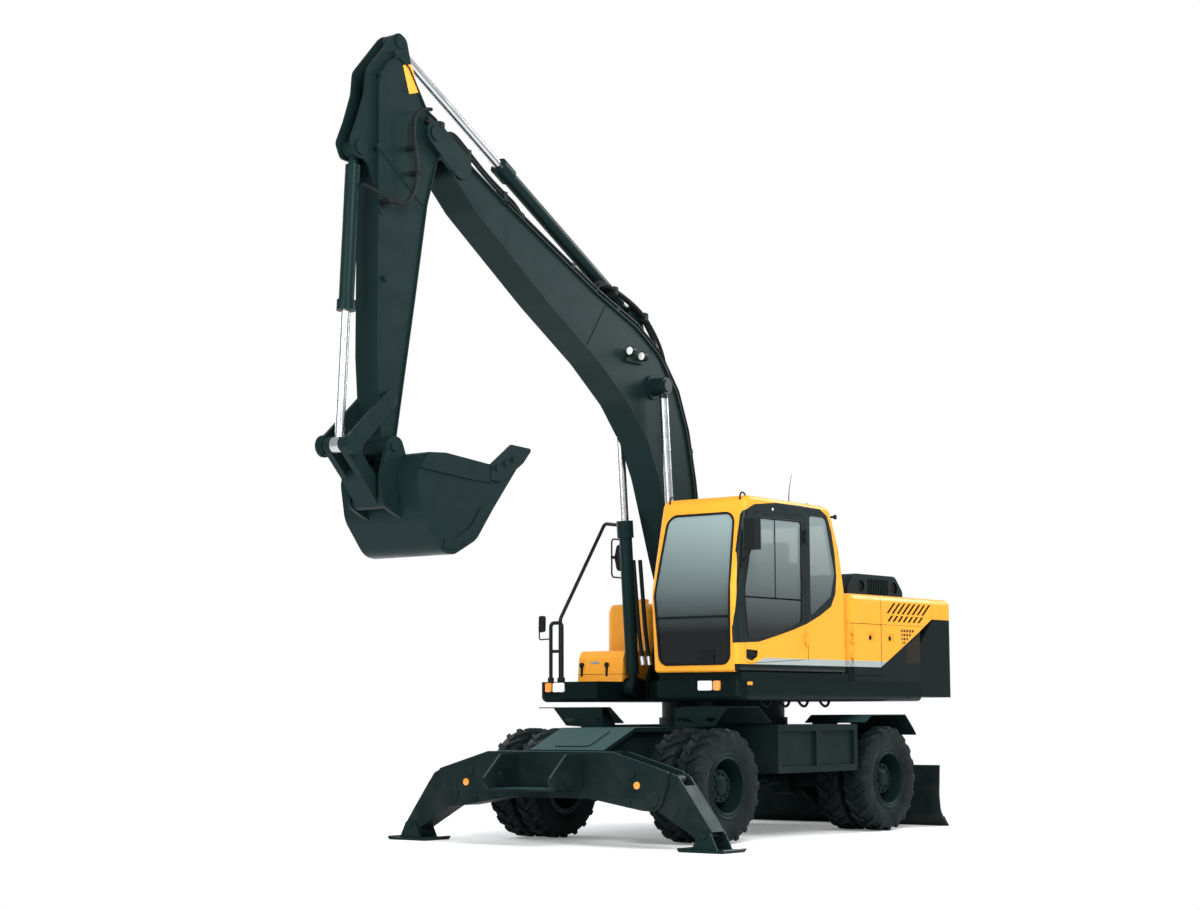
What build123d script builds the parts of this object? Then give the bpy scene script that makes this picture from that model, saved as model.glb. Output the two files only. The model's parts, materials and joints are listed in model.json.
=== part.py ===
"""Wheeled excavator in millimetres, built from its swing axis, +X to the front and +Y to the left."""

import os
from math import atan2, cos, degrees, hypot, pi, radians, sin

from build123d import *

os.makedirs("parts", exist_ok=True)

# ---------------------------------------------------------------- driving dimensions
# Whole machine
TAIL_RADIUS = 2790.0          # swing axis to the back of the counterweight
RUNNING_GAP = 0.3             # between faces that turn against each other
SIDE_GAP = 4.0                # between the eyes and lugs of a pinned joint
HINGE_RADIUS = 13.0           # knuckles of the door hinges
HINGE_PIN = 6.0
HINGE_HALF = 60.0

# Wheels and axles
TYRE_RADIUS = 527.5
TYRE_WIDTH = 270.0
TWIN_GAP = 45.0               # between the two tyres of a pair
TRACK_OUTER = 1243.0          # machine centre to the outer face of the outer tyre
FRONT_AXLE_X = 1696.0
REAR_AXLE_X = -1174.0
BEAD_RADIUS = 300.0
RIM_RADIUS = 262.0
RIM_WALL = 14.0
HUB_RADIUS = 150.0
HUB_RECESS = 100.0            # hub face behind the outer face of the tyre
LUG_HEIGHT = 26.0
LUG_COUNT = 11                # on each shoulder
KINGPIN_Y = TRACK_OUTER - 393.0
DRUM_LENGTH = 232.0
AXLE_HALF_HEIGHT = 95.0
AXLE_HALF_DEPTH = 75.0
DIFF_RADIUS = 185.0
DIFF_WIDTH = 220.0

# Chassis
CHASSIS_TOP = 1060.0
CHASSIS_HALF = 440.0          # half width of the upper part
CHASSIS_WAIST = 375.0         # half width between the tyres
CHASSIS_FLOOR = 640.0
TURRET_RADIUS = 650.0
TURRET_TOP = 1150.0

# Outriggers
BEAM_FRONT = 2780.0
BEAM_DEPTH = 250.0
BEAM_PLATE = 22.0
LEG_PIVOT_Y = 1172.0
LEG_PIVOT_Z = 438.0
LEG_EYE_Y = 1374.0
LEG_EYE_Z = 607.0
FOOT_Y = 1725.0
FOOT_Z = 145.0
LEG_DEPTH = 190.0
LEG_PLATE = 20.0
STRUT_PIN_Y = 480.0           # inner pin of the outrigger cylinder
STRUT_PIN_Z = 600.0

# Blade
BLADE_HALF = 1250.0
BLADE_PIVOT_X = -1700.0
BLADE_PIVOT_Z = 480.0
BLADE_ARM_Y = 300.0
BLADE_EYE_X = -2100.0
BLADE_EYE_Z = 600.0
BLADE_RAM_X = -1600.0
BLADE_RAM_Z = 1010.0
BLADE_RAM_Y = 450.0

# Upper structure
DECK_FRONT = 1447.0
DECK_HALF = 1235.0
DECK_TOP = 1505.0
DECK_FLOOR = 1305.0
DECK_REAR = -1850.0
TAIL_TOP = 2180.0
HOOD_TOP = 2385.0

# Cab
CAB_LEFT = 1230.0
CAB_RIGHT = 245.0
CAB_FLOOR = 1575.0
CAB_WALL = 45.0

# Boom group, all in one upright plane beside the cab
BOOM_Y = -120.0
BOOM_HALF = 170.0
BOOM_FOOT = (500.0, 2130.0)
ARM_PIN = (4400.0, 6289.0)
BOOM_EYE = (1205.0, 4385.0)
BOOM_RAM_FOOT = (975.0, 1440.0)
BOOM_RAM_Y = 280.0
BOOM_RAM_RADIUS = 65.0
BOOM_ROD_RADIUS = 42.0
ARM_HALF = 130.0
ARM_RAM_BASE = (1400.0, 5105.0)
ARM_EYE = (4785.0, 7040.0)
ARM_RAM_RADIUS = 68.0
ARM_ROD_RADIUS = 45.0
BUCKET_PIN = (4942.0, 3452.0)
ROCKER_PIN = (4934.0, 3860.0)
LINK_PIN = (5395.0, 3440.0)
BUCKET_EYE = (4992.0, 2997.0)
BUCKET_RAM_BASE = (5255.0, 6006.0)
BUCKET_RAM_RADIUS = 66.0
BUCKET_ROD_RADIUS = 40.0
BUCKET_HALF = 450.0
LINK_BOSS = 95.0              # radius of the rockers round their front pin

# The origin lies under the middle of the whole machine's length
SWING_X = -(LINK_PIN[0] + LINK_BOSS - TAIL_RADIUS) / 2

# Planes through the swing axis: seen from the side, from above and from the front
SIDE = Plane(origin=(SWING_X, 0, 0), x_dir=(1, 0, 0), z_dir=(0, -1, 0))
ABOVE = Plane(origin=(SWING_X, 0, 0), x_dir=(1, 0, 0), z_dir=(0, 0, 1))
AHEAD = Plane(origin=(SWING_X, 0, 0), x_dir=(0, 1, 0), z_dir=(1, 0, 0))


# ---------------------------------------------------------------- shared shapes
def area(plane, rows, inset=0.0):
    """Face on a plane whose outline has rows of (across, up, corner radius), drawn in by an inset."""
    with BuildSketch(plane) as shape:
        with BuildLine():
            FilletPolyline(*[(a, b) for a, b, _ in rows], radius=[r for _, _, r in rows], close=True)
        make_face()
        if inset:
            offset(amount=-inset, mode=Mode.REPLACE)
    return shape.sketch


def side_slab(rows, y_low, y_high, mode=Mode.ADD):
    """Plate whose outline is seen from the side, rows of (x, z, corner radius)."""
    extrude(area(SIDE.offset(-y_high), rows), amount=y_high - y_low, mode=mode)


def plan_slab(rows, z_low, z_high, mode=Mode.ADD):
    """Plate whose outline is seen from above, rows of (x, y, corner radius)."""
    extrude(area(ABOVE.offset(z_low), rows), amount=z_high - z_low, mode=mode)


def front_slab(rows, x_low, x_high, mode=Mode.ADD):
    """Plate whose outline is seen from the front, rows of (y, z, corner radius)."""
    extrude(area(AHEAD.offset(x_low), rows), amount=x_high - x_low, mode=mode)


def block(x_span, y_span, z_span, mode=Mode.ADD):
    """Straight block between its limits along each axis."""
    rows = [(x_span[0], y_span[0], 0), (x_span[1], y_span[0], 0),
            (x_span[1], y_span[1], 0), (x_span[0], y_span[1], 0)]
    plan_slab(rows, z_span[0], z_span[1], mode)


def disc(plane, centre, radius, length, mode=Mode.ADD):
    """Round bar that starts on a plane."""
    with BuildSketch(plane) as shape:
        with Locations(centre):
            Circle(radius)
    extrude(shape.sketch, amount=length, mode=mode)


def pin(x, z, y_low, y_high, radius, mode=Mode.ADD):
    """Round bar across the machine."""
    disc(SIDE.offset(-y_high), (x, z), radius, y_high - y_low, mode)


def post(x, y, z_low, z_high, radius, mode=Mode.ADD):
    """Upright round bar."""
    disc(ABOVE.offset(z_low), (x, y), radius, z_high - z_low, mode)


def shaft(y, z, x_low, x_high, radius, mode=Mode.ADD):
    """Round bar along the machine."""
    disc(AHEAD.offset(x_low), (y, z), radius, x_high - x_low, mode)


def bar(start, end, radius, mode=Mode.ADD):
    """Round bar from one point to another, both (x, y, z) from the swing axis."""
    run = Vector(*end) - Vector(*start)
    plane = Plane(origin=(start[0] + SWING_X, start[1], start[2]), z_dir=run)
    disc(plane, (0, 0), radius, run.length, mode)


def rail(points, bend, radius, sides=12):
    """Bent tube along points (x, y, z) from the swing axis, with flat sides all round."""
    places = [(x + SWING_X, y, z) for x, y, z in points]
    with BuildLine() as path:
        FilletPolyline(*places, radius=bend)
    with BuildSketch(Plane(origin=path.line @ 0, z_dir=path.line % 0)) as ring:
        RegularPolygon(radius, sides)
    sweep(ring.sketch, path=path.line)


def along(start, end, distance):
    """Point at a distance from start towards end, in the side view."""
    run = hypot(end[0] - start[0], end[1] - start[1])
    share = distance / run
    return (start[0] + share * (end[0] - start[0]), start[1] + share * (end[1] - start[1]))


def ram_piece(start, end, y, near, far, radius, mode=Mode.ADD):
    """Round length of a cylinder on the line start-end, between two distances from start."""
    a = along(start, end, near)
    b = along(start, end, far)
    bar((a[0], y, a[1]), (b[0], y, b[1]), radius, mode)


def tube_ring(plane, centre, outer, inner, length, mode=Mode.ADD):
    """Round ring that starts on a plane."""
    with BuildSketch(plane) as shape:
        with Locations(centre):
            Circle(outer)
            Circle(inner, mode=Mode.SUBTRACT)
    extrude(shape.sketch, amount=length, mode=mode)


def both_sides(rows):
    """Closed outline from the rows of its +Y half, given from the top middle round to the bottom middle."""
    return rows + [(-y, z, r) for y, z, r in reversed(rows)]


def hinge_seat(x, y, z, leaf_x, face_y):
    """Pin and end knuckles of an upright hinge, on leaves that reach the face they are fixed to."""
    post(x, y, z - HINGE_HALF, z + HINGE_HALF, HINGE_PIN)
    for low in (z - HINGE_HALF, z + HINGE_HALF / 2 + RUNNING_GAP):
        high = low + HINGE_HALF / 2 - RUNNING_GAP
        post(x, y, low, high, HINGE_RADIUS)
        block((min(x, leaf_x), max(x, leaf_x)), (min(y, face_y), max(y, face_y)), (low, high))


def hinge_leaf(x, y, z, leaf_x, face_y):
    """Middle knuckle of an upright hinge, with its leaf."""
    post(x, y, z - HINGE_HALF / 2, z + HINGE_HALF / 2, HINGE_RADIUS)
    block((min(x, leaf_x), max(x, leaf_x)), (min(y, face_y), max(y, face_y)), (z - HINGE_HALF / 2, z + HINGE_HALF / 2))
    post(x, y, z - HINGE_HALF, z + HINGE_HALF, HINGE_PIN + RUNNING_GAP, Mode.SUBTRACT)


# ================================================================ undercarriage
# ---------------------------------------------------------------- chassis frame
SLOPE_TOP = (2055.0, CHASSIS_TOP)
SLOPE_FOOT = (BEAM_FRONT - BEAM_DEPTH, 862.0)
TOP_PLATE = 40.0
CHASSIS_REAR = -1600.0
BLADE_ARM_WIDTH = 56.0
BLADE_LUG = 20.0
RAM_EYE_WIDTH = 60.0

with BuildPart() as chassis:
    side_slab([(CHASSIS_REAR, 700, 0), (CHASSIS_REAR, CHASSIS_TOP, 0), (*SLOPE_TOP, 0), (*SLOPE_FOOT, 0),
               (SLOPE_FOOT[0], CHASSIS_FLOOR, 0), (-1480, CHASSIS_FLOOR, 60)], -CHASSIS_WAIST, CHASSIS_WAIST)
    side_slab([(CHASSIS_REAR + 130, CHASSIS_TOP - TOP_PLATE, 0), (CHASSIS_REAR + 130, CHASSIS_TOP, 0),
               (*SLOPE_TOP, 0), (*SLOPE_FOOT, 0), (SLOPE_FOOT[0], SLOPE_FOOT[1] - TOP_PLATE, 0),
               (SLOPE_TOP[0], CHASSIS_TOP - TOP_PLATE, 0)], -CHASSIS_HALF, CHASSIS_HALF)
    # Turret that carries the swing bearing, widened from the frame by a cone
    with Locations(Location((SWING_X, 0, CHASSIS_TOP - 140))):
        Cone(CHASSIS_HALF, TURRET_RADIUS, 160, align=(Align.CENTER, Align.CENTER, Align.MIN))
    post(0, 0, CHASSIS_TOP, TURRET_TOP, TURRET_RADIUS)
    post(0, 0, CHASSIS_FLOOR, TURRET_TOP, 300, Mode.SUBTRACT)
    for axle_x in (FRONT_AXLE_X, REAR_AXLE_X):
        pin(axle_x, TYRE_RADIUS, -DIFF_WIDTH / 2 - 10, DIFF_WIDTH / 2 + 10, DIFF_RADIUS + 10, Mode.SUBTRACT)
    # Inspection cover on the sloping plate
    slope = Vector(SLOPE_FOOT[0] - SLOPE_TOP[0], 0, SLOPE_FOOT[1] - SLOPE_TOP[1])
    slope_middle = Vector(SLOPE_TOP[0] + SWING_X, 0, SLOPE_TOP[1]) + slope * 0.5
    with BuildSketch(Plane(origin=slope_middle, x_dir=slope, z_dir=Vector(-slope.Z, 0, slope.X))) as cover:
        RectangleRounded(slope.length * 0.72, 430, 45)
    extrude(cover.sketch, amount=9)
    # Rear cross member with the ears of the blade cylinders, and the lugs of the blade arms
    block((CHASSIS_REAR + 60, CHASSIS_REAR + 130), (-BLADE_RAM_Y - 55, BLADE_RAM_Y + 55), (950, 1050))
    for side in (-1, 1):
        for lug_low in (-RAM_EYE_WIDTH / 2 - SIDE_GAP - BLADE_LUG, RAM_EYE_WIDTH / 2 + SIDE_GAP):
            low = side * BLADE_RAM_Y + lug_low
            side_slab([(BLADE_RAM_X - 45, 1055, 40), (BLADE_RAM_X - 45, 965, 40), (CHASSIS_REAR + 70, 950, 0),
                       (CHASSIS_REAR + 70, 1055, 0)], low, low + BLADE_LUG)
        pin(BLADE_RAM_X, BLADE_RAM_Z, side * BLADE_RAM_Y - 60, side * BLADE_RAM_Y + 60, 25)
        for lug_low in (-BLADE_ARM_WIDTH / 2 - SIDE_GAP - BLADE_LUG, BLADE_ARM_WIDTH / 2 + SIDE_GAP):
            low = side * BLADE_ARM_Y + lug_low
            side_slab([(CHASSIS_REAR + 5, 700, 0), (CHASSIS_REAR + 5, 900, 0), (CHASSIS_REAR - 60, 860, 40),
                       (BLADE_PIVOT_X - 65, 520, 60), (BLADE_PIVOT_X - 50, 415, 60),
                       (BLADE_PIVOT_X + 70, 425, 50), (CHASSIS_REAR + 80, 660, 0), (CHASSIS_REAR + 80, 700, 0)],
                      low, low + BLADE_LUG)
        pin(BLADE_PIVOT_X, BLADE_PIVOT_Z, side * BLADE_ARM_Y - 62, side * BLADE_ARM_Y + 62, 40)
chassis.part.label = "chassis"
export_step(chassis.part, "parts/chassis.step")

# ---------------------------------------------------------------- outrigger beam
LEG_X = BEAM_FRONT - BEAM_DEPTH / 2
BEAM_REAR = BEAM_FRONT - BEAM_DEPTH
BEAM_TOP = 850.0
BEAM_HALF_OUTLINE = [(739, BEAM_TOP, 60), (1352, 682, 25), (1335, 560, 60), (1262, 372, 80), (1172, 335, 60),
                     (1064, 340, 30), (472, 434, 60)]
NOSE_HALF = 385.0
NOSE_PLATE = 25.0
LEG_PIN_RADIUS = 45.0
STRUT_PIN_RADIUS = 28.0

with BuildPart() as outrigger_beam:
    front_slab(both_sides(BEAM_HALF_OUTLINE), BEAM_FRONT - BEAM_PLATE, BEAM_FRONT)
    front_slab(both_sides(BEAM_HALF_OUTLINE), BEAM_REAR, BEAM_REAR + BEAM_PLATE)
    # Top plate, bottom plate and the web at the middle close the box between the two big plates
    block((BEAM_REAR, BEAM_FRONT), (-700, 700), (BEAM_TOP - BEAM_PLATE, BEAM_TOP))
    front_slab([(-1050, 342, 0), (-472, 434, 0), (472, 434, 0), (1050, 342, 0), (1050, 362, 0), (472, 456, 0),
                (-472, 456, 0), (-1050, 362, 0)], BEAM_REAR, BEAM_FRONT)
    front_slab([(-300, 440, 0), (-300, BEAM_TOP, 0), (300, BEAM_TOP, 0), (300, 440, 0)], BEAM_REAR, BEAM_FRONT)
    for side in (-1, 1):
        shaft(side * LEG_PIVOT_Y, LEG_PIVOT_Z, BEAM_REAR - 14, BEAM_FRONT + 14, LEG_PIN_RADIUS)
        shaft(side * LEG_PIVOT_Y, LEG_PIVOT_Z, BEAM_FRONT, BEAM_FRONT + 12, 72)
        shaft(side * LEG_PIVOT_Y, LEG_PIVOT_Z, BEAM_REAR - 12, BEAM_REAR, 72)
        shaft(side * STRUT_PIN_Y, STRUT_PIN_Z, BEAM_REAR, BEAM_FRONT, STRUT_PIN_RADIUS)
    # Nose: two plates with bosses that reach forward, and the shelf between them
    for side in (-1, 1):
        low = side * NOSE_HALF - NOSE_PLATE / 2
        side_slab([(BEAM_FRONT - 10, 505, 0), (BEAM_FRONT - 10, BEAM_TOP - 20, 0), (BEAM_FRONT + 235, BEAM_TOP - 20, 30),
                   (BEAM_FRONT + 492, 600, 40), (BEAM_FRONT + 410, 518, 20)], low, low + NOSE_PLATE)
        pin(BEAM_FRONT + 235, 602, low - 12, low + NOSE_PLATE + 12, 62)
        shaft(side * 900, 400, BEAM_FRONT, BEAM_FRONT + 10, 34)
        shaft(side * 950, 660, BEAM_FRONT, BEAM_FRONT + 10, 40)
    block((BEAM_FRONT - 10, BEAM_FRONT + 405), (-NOSE_HALF, NOSE_HALF), (505, 525))
outrigger_beam.part.label = "outrigger_beam"
export_step(outrigger_beam.part, "parts/outrigger_beam.step")

# ---------------------------------------------------------------- axles and driveline
HUB_FACE = TRACK_OUTER - HUB_RECESS
DISC_WALL = 18.0
DISC_Y = TRACK_OUTER - TYRE_WIDTH - TWIN_GAP / 2      # the twin discs meet between the tyres
HUB_INNER = DISC_Y - DISC_WALL
HUB_LENGTH = HUB_FACE - HUB_INNER

with BuildPart() as axles:
    for axle_x in (FRONT_AXLE_X, REAR_AXLE_X):
        end_y = KINGPIN_Y if axle_x == FRONT_AXLE_X else HUB_INNER - RUNNING_GAP
        side_slab([(axle_x - AXLE_HALF_DEPTH, TYRE_RADIUS - AXLE_HALF_HEIGHT, 30),
                   (axle_x - AXLE_HALF_DEPTH, TYRE_RADIUS + AXLE_HALF_HEIGHT, 30),
                   (axle_x + AXLE_HALF_DEPTH, TYRE_RADIUS + AXLE_HALF_HEIGHT, 30),
                   (axle_x + AXLE_HALF_DEPTH, TYRE_RADIUS - AXLE_HALF_HEIGHT, 30)], -end_y, end_y)
        # Banjo with the differential, its pinion nose towards the gearbox, and the saddle under the frame
        with Locations(Location((axle_x + SWING_X, 0, TYRE_RADIUS), (90, 0, 0))):
            Cylinder(DIFF_RADIUS, DIFF_WIDTH)
        nose = -1 if axle_x > 0 else 1
        shaft(0, TYRE_RADIUS, min(axle_x, axle_x + nose * 330), max(axle_x, axle_x + nose * 330), 80)
        block((axle_x - 70, axle_x + 70), (-260, 260), (TYRE_RADIUS, CHASSIS_FLOOR))
    for side in (-1, 1):
        # Round kingpin boss at each end of the front beam
        post(FRONT_AXLE_X, side * KINGPIN_Y, TYRE_RADIUS - 105, TYRE_RADIUS + 105, 55)
        # Brake drum housing at each end of the rear beam
        drum_inner = HUB_INNER - RUNNING_GAP - DRUM_LENGTH
        disc(SIDE.offset(-max(side * drum_inner, side * (HUB_INNER - RUNNING_GAP))), (REAR_AXLE_X, TYRE_RADIUS), 135,
             DRUM_LENGTH)
axles.part.label = "axles"
export_step(axles.part, "parts/axles.step")

GEARBOX_X = 250.0

with BuildPart() as driveline:
    block((GEARBOX_X - 180, GEARBOX_X + 180), (-170, 170), (TYRE_RADIUS - 130, CHASSIS_FLOOR))
    shaft(0, TYRE_RADIUS, REAR_AXLE_X + 330, GEARBOX_X, 48)
    shaft(0, TYRE_RADIUS, GEARBOX_X, FRONT_AXLE_X - 330, 48)
    for joint_x in (REAR_AXLE_X + 330, GEARBOX_X - 240, GEARBOX_X + 180, FRONT_AXLE_X - 390):
        shaft(0, TYRE_RADIUS, joint_x, joint_x + 60, 75)
driveline.part.label = "driveline"
export_step(driveline.part, "parts/driveline.step")

# ---------------------------------------------------------------- mudguards and side boxes
with BuildPart() as mudguards:
    for side in (-1, 1):
        inner = side * 520
        outer = side * 1240
        low = min(inner, outer)
        high = max(inner, outer)
        # Front guard: a flat tread that slopes down behind the wheel, on a slanted gusset
        side_slab([(1430, 1245, 0), (1430, 1255, 0), (1196, 1255, 20), (981, 1107, 0), (981, 1095, 0),
                   (1200, 1245, 20)], low, high)
        front_slab([(side * 440, 1040, 0), (side * 440, 1056, 0), (inner + side * 40, 1246, 0),
                    (inner + side * 60, 1246, 0), (side * 458, 1040, 0)], 1196, 1430)
        front_slab([(side * 440, 1030, 0), (side * 440, 1246, 0), (side * 1052, 1246, 0), (side * 890, 1074, 0),
                    (side * 640, 1062, 0)], 1416, 1430)
        for hole in (((470, 1112), (470, 1148), (568, 1148), (690, 1112)),
                     ((809, 1112), (790, 1150), (925, 1150), (880, 1112))):
            front_slab([(side * y, z, 6) for y, z in hole], 1410, 1440, Mode.SUBTRACT)
        # Rear guard with its small step
        side_slab([(-712, 1087, 0), (-712, 1097, 0), (-830, 1170, 30), (-1502, 1170, 30), (-1659, 1029, 20),
                   (-1718, 966, 0), (-1710, 958, 0), (-1651, 1021, 20), (-1498, 1160, 30), (-834, 1160, 30)],
                  low, high)
        front_slab([(side * 440, 1040, 0), (side * 440, 1060, 0), (inner, 1165, 0), (inner + side * 20, 1162, 0),
                    (side * 458, 1040, 0)], -1400, -950)
mudguards.part.label = "mudguards"
export_step(mudguards.part, "parts/mudguards.step")

SIDE_BOX_FRONT = 810.0
SIDE_BOX_REAR = -620.0
SIDE_BOX_TOP = 1077.0
SIDE_BOX_FLOOR = 620.0
SIDE_BOX_HALF = 1200.0

with BuildPart() as side_boxes:
    for side in (-1, 1):
        low = min(side * CHASSIS_HALF, side * SIDE_BOX_HALF)
        block((SIDE_BOX_REAR, SIDE_BOX_FRONT), (low, low + SIDE_BOX_HALF - CHASSIS_HALF),
              (SIDE_BOX_FLOOR, SIDE_BOX_TOP))
        face = side * SIDE_BOX_HALF
        # Framed panels sunk into the outer face
        for x_low, x_high in ((SIDE_BOX_REAR + 60, 60), (140, SIDE_BOX_FRONT - 60)):
            block((x_low, x_high), (min(face, face - side * 30), max(face, face - side * 30)),
                  (SIDE_BOX_FLOOR + 60, SIDE_BOX_TOP - 60), Mode.SUBTRACT)
    # The turret's cone needs room between the boxes
    post(0, 0, CHASSIS_TOP - 150, SIDE_BOX_TOP + 10, TURRET_RADIUS + 10, Mode.SUBTRACT)
side_boxes.part.label = "side_boxes"
export_step(side_boxes.part, "parts/side_boxes.step")

# ---------------------------------------------------------------- steering knuckles
KNUCKLE_PLATE = 30.0

for side_name, side in (("left", 1), ("right", -1)):
    with BuildPart() as knuckle:
        for z_low in (TYRE_RADIUS + 105 + RUNNING_GAP, TYRE_RADIUS - 105 - RUNNING_GAP - KNUCKLE_PLATE):
            post(FRONT_AXLE_X, side * KINGPIN_Y, z_low, z_low + KNUCKLE_PLATE, 80)
            outer = side * (HUB_INNER - RUNNING_GAP)
            inner = side * KINGPIN_Y
            block((FRONT_AXLE_X - 80, FRONT_AXLE_X + 80), (min(inner, outer), max(inner, outer)),
                  (z_low, z_low + KNUCKLE_PLATE))
        low = HUB_INNER - RUNNING_GAP - 22
        disc(SIDE.offset(-max(side * low, side * (low + 22))), (FRONT_AXLE_X, TYRE_RADIUS), 175, 22)
        # Steering arm behind the axle
        block((FRONT_AXLE_X - 190, FRONT_AXLE_X - 60), (side * (KINGPIN_Y - 5) - 25, side * (KINGPIN_Y - 5) + 25),
              (TYRE_RADIUS - 135, TYRE_RADIUS - 110))
    knuckle.part.label = f"knuckle_{side_name}"
    export_step(knuckle.part, f"parts/knuckle_{side_name}.step")

# ---------------------------------------------------------------- wheels
CARCASS_RADIUS = TYRE_RADIUS - LUG_HEIGHT
RIM_INSET = 18.0              # rim edge behind the face of its tyre
FACETS = 2 * LUG_COUNT        # flat sides round the carcass, one under each lug
CARCASS = [(-135, BEAD_RADIUS + 100), (-110, CARCASS_RADIUS - 4), (110, CARCASS_RADIUS - 4), (135, BEAD_RADIUS + 100)]
LUG_REACH = 58.0              # how far a lug leans round the tread at the shoulder
LUG_FLAT = (TYRE_RADIUS ** 2 - LUG_REACH ** 2) ** 0.5
LUG_PLAN = [(-LUG_REACH, -6), (-LUG_REACH + 50, -6), (LUG_REACH, 131), (LUG_REACH - 50, 131)]
LUG_TURN = degrees(atan2(LUG_REACH, LUG_FLAT))        # puts a lug's corner straight down


def facet_ring(y, reach):
    """Face with one straight side under each lug, across the axle."""
    with BuildSketch(Plane(origin=(0, y, 0), x_dir=(1, 0, 0), z_dir=(0, 1, 0))) as ring:
        RegularPolygon(reach, FACETS, major_radius=False, rotation=180 / FACETS - 90 - LUG_TURN)
    return ring.sketch


with BuildPart() as tyre_pattern:
    loft([facet_ring(y, reach) for y, reach in CARCASS], ruled=True)
    extrude(facet_ring(-TYRE_WIDTH, BEAD_RADIUS), amount=2 * TYRE_WIDTH, mode=Mode.SUBTRACT)
    lugs = []
    for index in range(LUG_COUNT):
        for half, lead in ((1, 0.0), (-1, 0.5)):
            turn = 180 - LUG_TURN + (index + lead) * 360 / LUG_COUNT
            tread = Plane(origin=(0, 0, 0), x_dir=(cos(radians(turn)), 0, -sin(radians(turn))),
                          z_dir=(sin(radians(turn)), 0, cos(radians(turn))))
            with BuildSketch(tread.offset(CARCASS_RADIUS - 12)) as lug:
                with BuildLine():
                    Polyline(*[(x, half * y) for x, y in LUG_PLAN], close=True)
                make_face()
            lugs.append(lug.sketch)
    extrude(Compound(lugs).faces(), amount=LUG_FLAT - CARCASS_RADIUS + 12)

WHEELS = (("front_left", FRONT_AXLE_X, 1), ("front_right", FRONT_AXLE_X, -1),
          ("rear_left", REAR_AXLE_X, 1), ("rear_right", REAR_AXLE_X, -1))

for wheel_name, axle_x, side in WHEELS:
    faces = (side * TRACK_OUTER, side * (TRACK_OUTER - TYRE_WIDTH - TWIN_GAP))
    with BuildPart() as tyres:
        for face in faces:
            middle = face - side * TYRE_WIDTH / 2
            turned = tyre_pattern.part if side > 0 else tyre_pattern.part.mirror(Plane.XZ)
            add(turned.moved(Location((axle_x + SWING_X, middle, TYRE_RADIUS))))
    tyres.part.label = f"{wheel_name}_tyres"
    export_step(tyres.part, f"parts/{wheel_name}_tyres.step")

    with BuildPart() as rims:
        for face in faces:
            outer = face - side * RIM_INSET
            inner = face - side * (TYRE_WIDTH - RIM_INSET)
            low = min(outer, inner)
            # Rim barrel inside the beads, with a flange against each sidewall
            tube_ring(SIDE.offset(-(low + TYRE_WIDTH - 2 * RIM_INSET)), (axle_x, TYRE_RADIUS), BEAD_RADIUS,
                      RIM_RADIUS - RIM_WALL, TYRE_WIDTH - 2 * RIM_INSET)
        # Twin discs that meet between the tyres, and the hub with its planetary cover
        disc(SIDE.offset(-(side * DISC_Y + DISC_WALL)), (axle_x, TYRE_RADIUS), RIM_RADIUS - RIM_WALL + 2,
             2 * DISC_WALL)
        hub_low = min(side * HUB_FACE, side * HUB_INNER)
        disc(SIDE.offset(-(hub_low + HUB_LENGTH)), (axle_x, TYRE_RADIUS), HUB_RADIUS, HUB_LENGTH)
        tube_ring(SIDE.offset(-(side * DISC_Y + TWIN_GAP / 2 + RIM_INSET)), (axle_x, TYRE_RADIUS), RIM_RADIUS,
                  RIM_RADIUS - RIM_WALL, TWIN_GAP + 2 * RIM_INSET)
    rims.part.label = f"{wheel_name}_rims"
    export_step(rims.part, f"parts/{wheel_name}_rims.step")

# ---------------------------------------------------------------- outrigger legs, feet and cylinders
LEG_OUTLINE = [(1085, 372, 70), (1085, 505, 60), (1345, 682, 60), (1440, 640, 50), (1800, 160, 60), (1740, 72, 60),
               (1640, 110, 60), (1200, 352, 80)]
LEG_WEB = [(1482, 558, 0), (1497, 568, 0), (1792, 176, 0), (1776, 166, 0)]
LEG_FLOOR = [(1235, 345, 0), (1640, 122, 0), (1632, 108, 0), (1227, 331, 0)]
FOOT_PIN_RADIUS = 32.0
STRUT_RADIUS = 50.0
STRUT_ROD = 30.0
STRUT_EYE_WIDTH = 90.0
STRUT_GLAND = 560.0


def mirrored(rows, side):
    """The same outline on the side of the machine given by the sign."""
    return [(side * y, z, r) for y, z, r in rows]


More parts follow.
